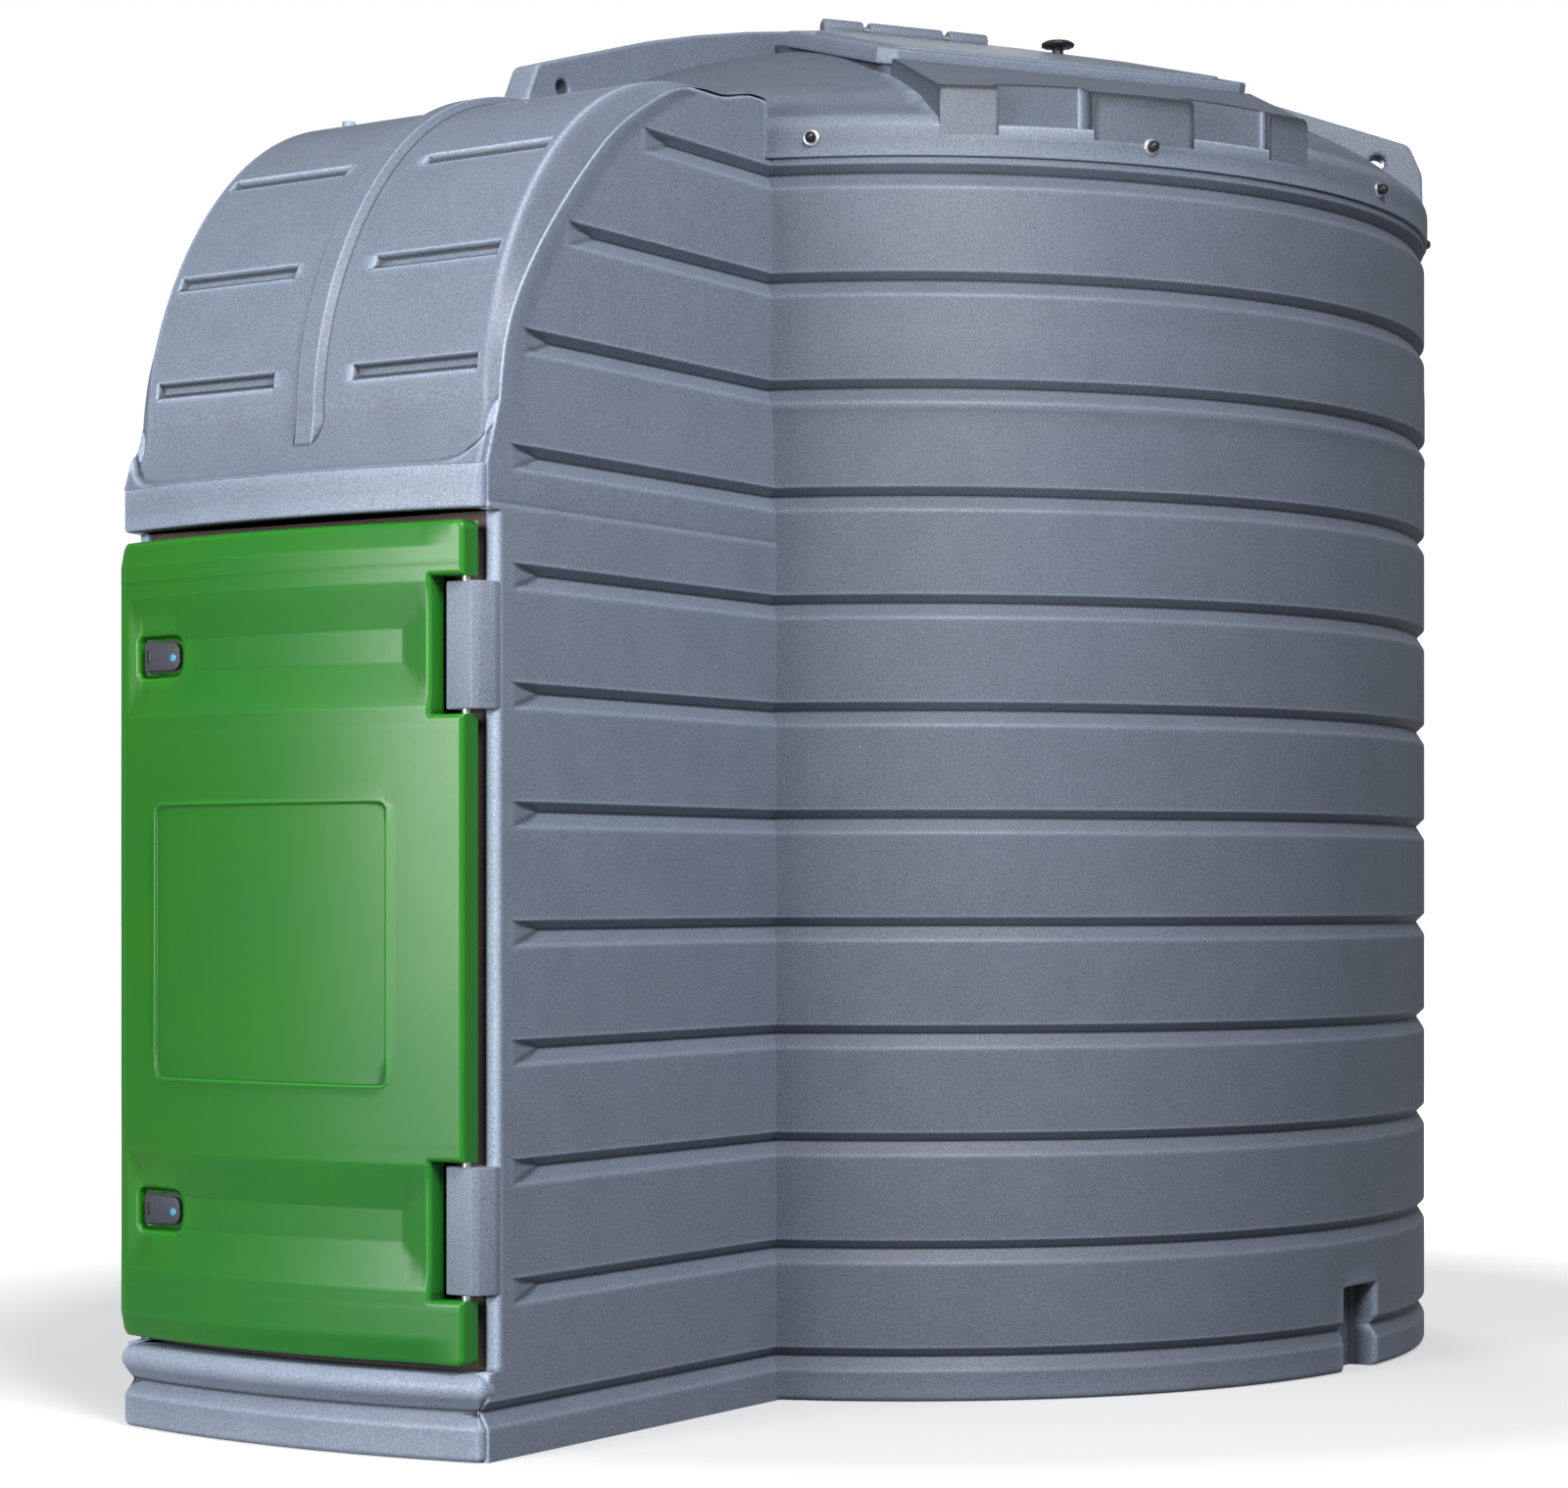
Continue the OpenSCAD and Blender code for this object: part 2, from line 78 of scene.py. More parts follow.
def grooveDepth(dz, deep=None):  # dz is the height above the groove's middle, its upper face is steep
    deep = groove["deep"] if deep is None else deep
    if deep <= 0:
        return 0.0
    upper = softStep((groove["above"] - dz) / groove["upperFace"], 0.09)
    lower = softStep((dz + groove["below"]) / groove["lowerFace"], 0.15)
    x = min(upper, lower)
    return min(deep, groove["deep"] * (x - softStep(x - 1, 0.06)))


def edgeRound(d, radius):  # how far a rounded edge falls away at d from the outline
    if d >= radius:
        return 0.0
    d = max(d, 0.0)
    return radius - math.sqrt(max(0.0, radius * radius - (radius - d) ** 2))


def tableAt(table, value, blur=0.0):  # straight lines between a table's points, blurred
    total = 0.0
    offsets = [0] if not blur else [blur * i / 4 for i in range(-4, 5)]
    for offset in offsets:
        v = min(max(value + offset, table[0][0]), table[-1][0])
        for (a, ra), (b, rb) in zip(table, table[1:]):
            if v <= b:
                total += ra + (rb - ra) * (v - a) / (b - a)
                break
    return total / len(offsets)


def steps(low, high, count):
    return [low + (high - low) * i / count for i in range(count + 1)]


def around(count):  # angles of a full turn, the last one left open
    return steps(0, 2 * math.pi * (count - 1) / count, count - 1)


def spread(*parts):  # sorted values of several lists, without near doubles
    values = sorted(v for part in parts for v in part)
    kept = [values[0]]
    for v in values[1:]:
        if v - kept[-1] > 1e-5:
            kept.append(v)
    return kept


def link(name, mesh):
    obj = bpy.data.objects.new(name, mesh)
    bpy.context.scene.collection.objects.link(obj)
    return obj


def gridPiece(name, rows, cols, point, closed=False, flip=False, keep=None):  # keep(row, col) drops cells
    mesh = bpy.data.meshes.new(name)
    verts = [point(r, c) for r in rows for c in cols]
    n = len(cols)
    faces = []
    for i in range(len(rows) - 1):
        for j in range(n if closed else n - 1):
            k = (j + 1) % n
            if keep and not keep((rows[i] + rows[i + 1]) / 2, (cols[j] + cols[k]) / 2):
                continue
            quad = (i * n + j, i * n + k, (i + 1) * n + k, (i + 1) * n + j)
            faces.append(quad[::-1] if flip else quad)
    mesh.from_pydata(verts, [], faces)
    bm = bmesh.new()
    bm.from_mesh(mesh)
    loose = [v for v in bm.verts if not v.link_faces]
    bmesh.ops.delete(bm, geom=loose, context="VERTS")
    bmesh.ops.remove_doubles(bm, verts=bm.verts, dist=1e-5)
    bm.to_mesh(mesh)
    bm.free()
    mesh.shade_smooth()
    return link(name, mesh)


def latheRows(points, count, name):  # points (radius, height) turned round z
    def point(row, angle):
        radius, z = points[row]
        return (radius * math.cos(angle), radius * math.sin(angle), z)
    return gridPiece(name, range(len(points)), around(count), point, closed=True)


def prism(name, outline, low, high, bevel, segments=3):  # outline in x, y, its edges rounded
    mesh = bpy.data.meshes.new(name)
    bm = bmesh.new()
    bottom = [bm.verts.new((x, y, low)) for x, y in outline]
    top = [bm.verts.new((x, y, high)) for x, y in outline]
    bm.faces.new(bottom[::-1])
    bm.faces.new(top)
    n = len(outline)
    for i in range(n):
        bm.faces.new((bottom[i], bottom[(i + 1) % n], top[(i + 1) % n], top[i]))
    bmesh.ops.recalc_face_normals(bm, faces=bm.faces)
    bmesh.ops.bevel(bm, geom=list(bm.edges), offset=bevel, segments=segments, profile=0.5, affect="EDGES")
    bm.to_mesh(mesh)
    bm.free()
    mesh.shade_smooth()
    mesh.set_sharp_from_angle(angle=deg(50))
    return link(name, mesh)


def turned(obj, matrix):
    obj.data.transform(matrix)
    return obj


def finishPiece(obj, body, material, nodes=()):
    obj.data.materials.clear()
    obj.data.materials.append(material)
    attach(obj, body)
    if nodes:
        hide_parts(*nodes)
    return obj


# materials: one group makes the moulded plastic's colour, gloss and grain, and paints highlights on outer
# edges and shade in inner corners
def addNode(tree, kind, **values):
    node = tree.nodes.new(kind)
    for key, value in values.items():
        if hasattr(node, key):
            setattr(node, key, value)
        else:
            node.inputs[key.replace("_", " ")].default_value = value
    return node


def mouldedGroup():
    group = bpy.data.node_groups.new("moulded plastic", "ShaderNodeTree")
    for label in ("Light", "Dark"):
        group.interface.new_socket(label, in_out="INPUT", socket_type="NodeSocketColor")
    for label in ("Grain Size", "Speckle", "Cloud", "Cloud Size", "Painted Edge Light", "Gloss"):
        group.interface.new_socket(label, in_out="INPUT", socket_type="NodeSocketFloat")
    for label, kind in (("Color", "Color"), ("Roughness", "Float"), ("Height", "Float")):
        group.interface.new_socket(label, in_out="OUTPUT", socket_type="NodeSocket" + kind)
    join = group.links.new
    source = addNode(group, "NodeGroupInput").outputs
    result = addNode(group, "NodeGroupOutput").inputs
    coord = addNode(group, "ShaderNodeTexCoord")

    # fine speckle and large clouds together say how dark the plastic is
    fine = addNode(group, "ShaderNodeTexNoise", Detail=2.0, Roughness=0.7)
    join(coord.outputs["Object"], fine.inputs["Vector"])
    join(source["Grain Size"], fine.inputs["Scale"])
    cloud = addNode(group, "ShaderNodeTexNoise", Detail=4.0, Roughness=0.6)
    join(coord.outputs["Object"], cloud.inputs["Vector"])
    join(source["Cloud Size"], cloud.inputs["Scale"])
    fineRange = addNode(group, "ShaderNodeMapRange", From_Min=0.32, From_Max=0.68)
    join(fine.outputs["Fac"], fineRange.inputs["Value"])
    cloudRange = addNode(group, "ShaderNodeMapRange", From_Min=0.3, From_Max=0.7)
    join(cloud.outputs["Fac"], cloudRange.inputs["Value"])
    fineScaled = addNode(group, "ShaderNodeMath", operation="MULTIPLY")
    join(fineRange.outputs["Result"], fineScaled.inputs[0])
    join(source["Speckle"], fineScaled.inputs[1])
    cloudScaled = addNode(group, "ShaderNodeMath", operation="MULTIPLY")
    join(cloudRange.outputs["Result"], cloudScaled.inputs[0])
    join(source["Cloud"], cloudScaled.inputs[1])
    total = addNode(group, "ShaderNodeMath", operation="ADD", use_clamp=True)
    join(fineScaled.outputs[0], total.inputs[0])
    join(cloudScaled.outputs[0], total.inputs[1])
    mix = addNode(group, "ShaderNodeMix", data_type="RGBA")
    join(total.outputs[0], mix.inputs["Factor"])
    join(source["Light"], mix.inputs[6])
    join(source["Dark"], mix.inputs[7])

    # painted highlight on outer edges and painted shade in inner corners and groove valleys, from the
    # mesh's pointiness
    shape = addNode(group, "ShaderNodeNewGeometry")
    edgeLightRange = addNode(group, "ShaderNodeMapRange", From_Min=0.474, From_Max=0.54, To_Min=-0.296,
                        To_Max=0.9)
    join(shape.outputs["Pointiness"], edgeLightRange.inputs["Value"])
    level = addNode(group, "ShaderNodeMath", operation="SUBTRACT")  # 0 on a flat face
    join(edgeLightRange.outputs["Result"], level.inputs[0])
    level.inputs[1].default_value = 0.175
    edge = addNode(group, "ShaderNodeMath", operation="MULTIPLY_ADD")
    join(level.outputs[0], edge.inputs[0])
    join(source["Painted Edge Light"], edge.inputs[1])
    edge.inputs[2].default_value = 1.0
    shaded = addNode(group, "ShaderNodeVectorMath", operation="SCALE")
    join(mix.outputs[2], shaded.inputs[0])
    join(edge.outputs[0], shaded.inputs["Scale"])
    join(shaded.outputs[0], result["Color"])

    rough = addNode(group, "ShaderNodeMath", operation="MULTIPLY_ADD")
    join(total.outputs[0], rough.inputs[0])
    rough.inputs[1].default_value = 0.12
    join(source["Gloss"], rough.inputs[2])
    join(rough.outputs[0], result["Roughness"])
    join(fine.outputs["Fac"], result["Height"])
    return group


moulded = mouldedGroup()


def plasticMaterial(name, look, light=None, dark=None, tint=1.0):
    material = bpy.data.materials.new(name)
    material.use_nodes = True
    tree = material.node_tree
    shader = tree.nodes["Principled BSDF"]
    group = addNode(tree, "ShaderNodeGroup", node_tree=moulded)
    for label, color in (("Light", light or shellColor["light"]), ("Dark", dark or shellColor["dark"])):
        group.inputs[label].default_value = (*[v * tint for v in color], 1)
    for label in ("Grain Size", "Speckle", "Cloud", "Cloud Size", "Painted Edge Light", "Gloss"):
        group.inputs[label].default_value = look[label]
    tree.links.new(group.outputs["Color"], shader.inputs["Base Color"])
    tree.links.new(group.outputs["Roughness"], shader.inputs["Roughness"])
    bumpNode = addNode(tree, "ShaderNodeBump", Strength=0.5, Distance=look["bump"])
    tree.links.new(group.outputs["Height"], bumpNode.inputs["Height"])
    tree.links.new(bumpNode.outputs["Normal"], shader.inputs["Normal"])
    shader.inputs["IOR"].default_value = 1.5
    return material


def steelMaterial(name, color, rough):
    material = bpy.data.materials.new(name)
    material.use_nodes = True
    tree = material.node_tree
    shader = tree.nodes["Principled BSDF"]
    shader.inputs["Metallic"].default_value = 0.9
    shader.inputs["Roughness"].default_value = rough
    coord = addNode(tree, "ShaderNodeTexCoord")
    noise = addNode(tree, "ShaderNodeTexNoise", Scale=160.0, Detail=3.0)
    tree.links.new(coord.outputs["Object"], noise.inputs["Vector"])
    mix = addNode(tree, "ShaderNodeMix", data_type="RGBA")
    tree.links.new(noise.outputs["Fac"], mix.inputs["Factor"])
    mix.inputs[6].default_value = (*color, 1)
    mix.inputs[7].default_value = (color[0] * 0.75, color[1] * 0.75, color[2] * 0.78, 1)
    tree.links.new(mix.outputs[2], shader.inputs["Base Color"])
    return material


shellColor = {"light": (0.262, 0.308, 0.390), "dark": (0.108, 0.134, 0.180)}
plain = {"Grain Size": 300.0, "Speckle": 0.78, "Cloud": 0.14, "Cloud Size": 9.0, "Painted Edge Light": 0.0, "Gloss": 0.44,
         "bump": 0.0005}
# this look paints highlights on outer edges and shade in inner corners
paintedEdgeLook = {**plain, "Painted Edge Light": 1.5}
innerLook = {**plain, "Grain Size": 260.0, "Speckle": 0.6, "Cloud": 0.3, "Gloss": 0.6, "bump": 0.0004}
# the door's large clouds run between a cooler and a warmer green: random tone, with the warmer green a
# painted sheen
doorLook = {"Grain Size": 90.0, "Speckle": 0.12, "Cloud": 0.80, "Cloud Size": 1.7, "Painted Edge Light": 0.8,
            "Gloss": 0.34, "bump": 0.0002}
blackLook = {**plain, "Grain Size": 400.0, "Speckle": 0.5, "Cloud": 0.3, "Gloss": 0.28, "bump": 0.0002}
latchLook = {**blackLook, "Gloss": 0.55}
lockLook = {**plain, "Speckle": 0.4, "Cloud": 0.2, "Gloss": 0.3, "bump": 0.0001}
shellPlastic = plasticMaterial("shellPlastic", paintedEdgeLook)
# a darker copy of the shell plastic for the barrel, lid dome, hatch seat and fins: painted shade
shadedShellPlastic = plasticMaterial("shadedShellPlastic", paintedEdgeLook, tint=0.65)
fittingPlastic = plasticMaterial("fittingPlastic", plain, tint=0.95)
# a darker copy of the shell plastic for the hood: painted shade
shadedHoodPlastic = plasticMaterial("shadedHoodPlastic", paintedEdgeLook, tint=0.86)
innerPlastic = plasticMaterial("innerPlastic", innerLook, (0.16, 0.115, 0.10), (0.09, 0.062, 0.056))
doorPlastic = plasticMaterial("doorPlastic", doorLook, (0.024, 0.175, 0.004), (0.001, 0.150, 0.013))
blackPlastic = plasticMaterial("blackPlastic", blackLook, (0.022, 0.022, 0.024), (0.010, 0.010, 0.012))
latchPlastic = plasticMaterial("latchPlastic", latchLook, (0.050, 0.056, 0.068), (0.026, 0.029, 0.036))
zincSteel = steelMaterial("zincSteel", (0.72, 0.73, 0.72), 0.35)
lockBlue = plasticMaterial("lockBlue", lockLook, (0.10, 0.35, 0.62), (0.05, 0.22, 0.45))
print("stage: materials made")


# the round barrel, with pockets at its foot for tying it down; pairs are where a face begins and ends
pocket = {"angles": (deg(-3.8), deg(90), deg(183.8)), "deep": 0.058, "slant": (-0.076, -0.030),
          "steep": (0.062, 0.072), "top": (0.166, 0.178)}


def pocketSide(i):  # the third pocket is mirrored
    return -1 if i == 2 else 1


def barrelRadius(z):
    radius = barrel["radius"] + barrel["skin"] - edgeRound(z, barrel["foot"])
    for k in range(barrel["count"]):
        dz = z - barrel["low"] - k * barrel["pitch"]
        if abs(dz) < groove["reach"]:
            radius -= grooveDepth(dz)
    shelfLow, shelfHigh, shelfEnd = barrel["shelf"]
    if z < shelfEnd:  # the band above the seam stands out a little
        radius += barrel["shelfOut"] * smooth(shelfLow, shelfHigh, z)
    return radius


def pocketDepth(angle, z):  # slanted left flank, steep right side
    for i, centre in enumerate(pocket["angles"]):
        s = (angle - centre) * barrel["radius"] * pocketSide(i)
        if abs(s) < 0.12 and z < 0.2:
            across = min(ramp(*pocket["slant"], s), 1 - smooth(*pocket["steep"], s))
            return pocket["deep"] * across * (1 - smooth(*pocket["top"], z))
    return 0.0


def barrelPoint(z, angle):
    depth = pocketDepth(angle, z)
    radius = barrelRadius(z)
    if depth:
        radius = min(radius, barrel["radius"] - depth)
    return (radius * math.cos(angle), radius * math.sin(angle), z)


grooveZ = [barrel["low"] + k * barrel["pitch"] for k in range(barrel["count"])]
grooveRows = [z + d for z in grooveZ for d in groove["rows"]]
barrelRows = spread([0, 0.0015, 0.004, 0.008, 0.014, 0.164, 0.167, 0.172, 0.176, 0.18],
                    [1.669, 1.671, 1.93, 1.933, 1.936, 1.939, 1.942, 2.42, 2.46], grooveRows,
                    [z + d for z in grooveZ[:-1] for d in (0.07, 0.105, 0.14)])
pocketCols = (-0.08, -0.076, -0.07, -0.06, -0.045, -0.03, 0, 0.03, 0.06, 0.063, 0.066, 0.069, 0.072, 0.076)
sideStart = -math.acos(0.36 / barrel["radius"])  # the barrel starts behind the cabinet's side
barrelAngles = spread(steps(sideStart, math.pi - sideStart, 214),
                      [p + s / barrel["radius"] * pocketSide(i) for i, p in enumerate(pocket["angles"])
                       for s in pocketCols])
shell = gridPiece("barrelShell", barrelRows, barrelAngles, barrelPoint)
finishPiece(shell, "tank", shadedShellPlastic,
            ("barrel_wall_right", "barrel_wall_back", "barrel_wall_left"))
print("stage: barrel done")


# the hood's sizes: its curve's radius and its slanting edge's depth go by the angle above the level
hood = {"y": 1.35, "z": 1.863, "rib": 0.031, "ribFlat": 0.019, "ribHigh": 0.015,
        "slotHalf": 0.1425, "slotAt": 0.2345, "slotAngles": (5.7, 24.6, 46.9), "slotDeep": 0.014,
        "slotHigh": 0.016, "flareIn": 0.0018, "flareDown": 0.0025, "flareUp": 0.062, "lidRadius": 1.2225,
        "cornerRound": 0.095, "edge": 0.005, "slant": 0.021, "lift": 0.021,
        "curve": ((-12, 0.668), (3, 0.669), (15, 0.664), (28, 0.660), (42, 0.662), (55, 0.668),
                  (66, 0.670), (78, 0.667), (95, 0.664)),
        "bevel": ((-12, 0.006), (-2, 0.008), (4, 0.014), (10, 0.016), (16, 0.026), (25, 0.044),
                  (33, 0.057), (41, 0.064), (50, 0.065), (57, 0.058), (64, 0.050), (70, 0.040),
                  (75, 0.028), (80, 0.013), (90, 0.007), (100, 0.006))}


def bowFront(x, extra=0.0):  # the cabinet's bowed front
    return cabinet["bowAxis"] + math.sqrt((cabinet["bowRadius"] + extra) ** 2 - x * x)


def hoodRadius(angle):
    return tableAt(hood["curve"], angle, 6)


def slantDepth(angle):
    return tableAt(hood["bevel"], angle, 4)


def hoodTop(x, y):  # height of the hood's flat top, which lifts a little towards the lid
    along = y + 0.02 * (1 - abs(x) / cabinet["half"])
    return hood["z"] + hoodRadius(90) + hood["lift"] * smooth(-1.32, -1.19, along)


crestTable = []  # the sharp edge between hood and side, as (z, y)
for angle in range(91):
    r = hoodRadius(angle) - slantDepth(angle)
    crestTable.append((hood["z"] + r * math.sin(deg(angle)), -hood["y"] - r * math.cos(deg(angle))))
crestTable.sort()
topTable = sorted((y, z) for z, y in crestTable if y < -hood["y"] - 0.005)
topTable += [(y, hoodTop(cabinet["half"], y) - slantDepth(90)) for y in steps(-hood["y"], -1.1, 25)]


# cabinet side walls, their grooves taper off towards the front
sideWall = {"doorRound": 0.011, "edgeRound": 0.005, "topRound": 0.012, "tipRun": 0.10, "tipBack": 0.040,
            "swell": 0.007, "swellRun": (0.006, 0.075), "swellUp": (1.75, 1.95),
            "step": 0.0022, "stepUp": (1.671, 1.681), "tipArc": (1.011, 1.532, 1.023)}


def outlineY(z):  # front end of the side wall at a height
    if cabinet["sill"] < z < cabinet["brow"]:
        return -cabinet["frame"]
    corner = -(cabinet["front"] - cabinet["corner"])
    if z < cabinet["browTop"]:
        return corner
    crestZ, crestY = crestTable[0]
    if z < crestZ:
        return corner + (crestY - corner) * (z - cabinet["browTop"]) / (crestZ - cabinet["browTop"])
    return tableAt(crestTable, z)


def topZ(y):  # top edge of the side wall
    return tableAt(topTable, y) - edgeRound(-cabinet["topBack"] - y, sideWall["topRound"])


def grooveTip(z):  # where a groove starts, on an arc beside the hood
    if z < hood["z"]:
        return -(cabinet["frame"] - sideWall["tipBack"])
    out, up, radius = sideWall["tipArc"]
    return -(out + math.sqrt(radius ** 2 - (min(z, 2.42) - up) ** 2))


sideTips = [grooveTip(z) for z in grooveZ]


def sidePoint(z, t):  # t runs from 0 at the front to 1 at the barrel, below 0 round the doorway
    half = cabinet["half"]
    inDoor = cabinet["sill"] < z < cabinet["brow"]
    front = outlineY(min(z, 2.512))
    if t < 0:
        z = min(z, topZ(front)) if z > 2.4 else z
        inward = half - 0.011 + 0.015 * max(t, -1)
        return (inward, front + (0.02 * (-1 - t) if t < -1 else 0.0), z)
    back = -cabinet["back"] if z < cabinet["lidFoot"] else -cabinet["topBack"]
    y = front + (back - front) * t
    d = y - front
    depth = edgeRound(d, sideWall["doorRound"] if inDoor else sideWall["edgeRound"])
    if z > 2.4:
        top = topZ(y)
        depth = max(depth, edgeRound(top - z, sideWall["edgeRound"]))
        if z > cabinet["lidFoot"]:
            depth = max(depth, edgeRound(back - y, sideWall["edgeRound"]))
        z = min(z, top)
    if z > cabinet["browTop"]:
        depth += sideWall["swell"] * smooth(*sideWall["swellRun"], d) * ramp(*sideWall["swellUp"], z)
    for k, zc in enumerate(grooveZ):
        dz = z - zc
        if abs(dz) < groove["reach"]:
            taper = 1 if k == 0 else ramp(0, sideWall["tipRun"], y - sideTips[k])
            depth += grooveDepth(dz, groove["deep"] * taper)
    depth += sideWall["step"] * smooth(*sideWall["stepUp"], z)
    return (half - depth, y, z)


def leftPoint(z, t):
    x, y, _ = sidePoint(z, t)
    return (-x, y, z)


sideRows = spread([0, 0.1545, 0.1555, 0.16, 0.167, 0.18, 1.652, 1.66, 1.6645, 1.6655],
                  [1.671, 1.6735, 1.676, 1.6785, 1.681, 1.7445, 1.7455],
                  grooveRows, steps(1.7455, 2.40, 50),
                  [z + d for z in grooveZ[:-1] for d in (0.055, 0.08, 0.105, 0.13, 0.155)],
                  [2.4236, 2.4244, 2.44, 2.455, 2.47, 2.482, 2.492, 2.5, 2.506, 2.511, 2.515, 2.519],
                  [2.523, 2.527, 2.531, 2.534, 2.537, 2.54, 2.543])
sideCols = spread([-2, -1, -0.5, 0, 0.0015, 0.004, 0.007, 0.010, 0.014, 0.02, 0.03],
                  steps(0.04, 0.2, 24), steps(0.2, 0.97, 40), [0.98, 0.99, 0.994, 0.997, 1.0])
side = gridPiece("cabinetSideRight", sideRows, sideCols, sidePoint)
finishPiece(side, "tank", shellPlastic, ("cabinet_side_right",))
side = gridPiece("cabinetSideLeft", sideRows, sideCols, leftPoint, flip=True)
finishPiece(side, "tank", shellPlastic, ("cabinet_side_left",))
print("stage: cabinet sides done")


# bands that follow the bowed front and turn round its corners
def bandPath():  # points and outward normals from left to right
    points = []
    corner = cabinet["corner"]
    xc = cabinet["half"] - corner
    for i in range(-26, 27):
        x = xc * i / 26
        r = cabinet["bowRadius"]
        normal = Vector((x / r, -math.sqrt(r * r - x * x) / r, 0))
        points.append((Vector((x, -bowFront(x), 0)), normal))
    last = points[-1]
    start = math.atan2(last[1].y, last[1].x)
    centre = last[0] - last[1] * corner
    turn = []
    for i in range(1, 9):
        a = start * (1 - i / 8)
        n = Vector((math.cos(a), math.sin(a), 0))
        turn.append((centre + n * corner, n))
    turn.append((Vector((turn[-1][0].x, turn[-1][0].y + 0.02, 0)), Vector((1, 0, 0))))
    mirrored = [(Vector((-p.x, p.y, 0)), Vector((-n.x, n.y, 0))) for p, n in turn[::-1]]
    return mirrored + points + turn


path = bandPath()


def bandPiece(name, profile, nodes):  # profile points (outward, height)
    def point(row, col):
        outward, z = profile[row]
        p, n = path[col]
        return (p.x + n.x * outward, p.y + n.y * outward, z)
    piece = gridPiece(name, range(len(profile)), range(len(path)), point)
    return finishPiece(piece, "tank", shellPlastic, nodes)


def arcPoints(cx, cz, radius, start, end, count):
    return [(cx + radius * math.cos(deg(a)), cz + radius * math.sin(deg(a)))
            for a in steps(start, end, count)]


plinthProfile = ([(-0.03, 0.0)] + arcPoints(-0.014, 0.014, 0.014, -90, 0, 5)
                 + [(-grooveDepth(d), barrel["low"] + d) for d in groove["rows"] if d < 0.016]
                 + arcPoints(-0.021, 0.1265, 0.0265, -42, 78, 12)
                 + [(-0.03, 0.1525), (-0.06, 0.151), (-0.085, 0.150)])
bandPiece("cabinetPlinth", plinthProfile, ("cabinet_plinth",))
browProfile = ([(-0.095, 1.674), (-0.04, 1.667)] + arcPoints(-0.006, 1.671, 0.006, -95, 0, 6)
               + [(0.0, 1.70), (0.0, 1.72)] + arcPoints(-0.006, 1.7385, 0.006, 0, 65, 6))
bandPiece("cabinetBrow", browProfile, ("cabinet_brow",))
print("stage: brow and plinth done")


# the hood's skin, with its rib, slots and slanting edges
slotRise = deg(0.665)  # metres along the curve for each degree


def ribLift(x):
    return hood["ribHigh"] * ramp(0, hood["rib"] - hood["ribFlat"], hood["rib"] - abs(x))


def hoodDepth(x, angle):  # how far the skin lies inside the curve
    depth = 0.0
    d = cabinet["half"] - hood["edge"] - abs(x)
    if d < 0.026:
        depth += slantDepth(angle) * min(1.0, softStep(1 - d / hood["slant"], 0.22))
    depth -= ribLift(x)
    for slotAngle in hood["slotAngles"]:
        along = hood["slotHalf"] - abs(abs(x) - hood["slotAt"])
        rise = (angle - slotAngle) * slotRise
        cross = min(hood["slotHigh"] - rise, (rise + hood["slotHigh"]) * 0.55)
        inside = min(ramp(-0.001, 0.006, along), ramp(-0.001, 0.006, cross))
        depth += hood["slotDeep"] * inside * inside * (3 - 2 * inside)
    return depth


def frameFront(x):  # the brow's face carried up beside the hood's lower corners
    flat = cabinet["half"] - cabinet["corner"]
    y = -bowFront(min(abs(x), flat))
    if abs(x) > flat:
        y += cabinet["corner"] - math.sqrt(max(0.0, cabinet["corner"] ** 2 - (abs(x) - flat) ** 2))
    return y


def flarePoint(x, t):  # from the brow's edge, t is 0, up to the curve, t is 1
    startY = -(hood["y"] + hoodRadius(0) - hoodDepth(x, 0)) + ribLift(x)
    endY, endZ = frameFront(x) + hood["flareIn"], cabinet["browTop"] - hood["flareDown"]
    a, b, c = (1 - t) ** 2, 2 * t * (1 - t), t * t
    y = a * endY + (b + c) * startY
    z = a * endZ + b * (endZ + hood["flareUp"]) + c * hood["z"]
    if abs(x) < hood["rib"]:  # the rib runs out where the flare comes forward
        y = min(y, startY - ribLift(x) - 0.012 * (hood["z"] - z) / 0.088)
    # outside the round of the lower corner the brow's face leans back to the crest
    across = hood["cornerRound"] - (cabinet["half"] - abs(x))
    up = hood["cornerRound"] - (z - endZ)
    over = math.hypot(max(across, 0), max(up, 0)) - hood["cornerRound"]
    crest = -(hood["y"] + hoodRadius(0) - slantDepth(0))
    lean = frameFront(x) + (z - endZ) / (hood["z"] - endZ) * (crest - frameFront(cabinet["half"]))
    y += (lean - y) * smooth(-0.008, 0.004, over)
    return (x, y, z)


def hoodPoint(s, x):  # s: -1 to 0 the flare, to 1 the curve, to 2 the flat top, to 3 down at the lid
    if s < 0:
        return flarePoint(x, s + 1)
    if s <= 1:
        angle = 90 * s
        r = hoodRadius(angle) - hoodDepth(x, angle)
        return (x, -(hood["y"] + r * math.cos(deg(angle))), hood["z"] + r * math.sin(deg(angle)))
    back = -math.sqrt(hood["lidRadius"] ** 2 - x * x)
    topRound = sideWall["topRound"]
    if s <= 2:
        y = -hood["y"] + (back + hood["y"]) * (s - 1)
        return (x, y, hoodTop(x, y) - hoodDepth(x, 90) - edgeRound(back - y, topRound))
    return (x, back, hoodTop(x, back) - hoodDepth(x, 90) - topRound - 0.10 * (s - 2))


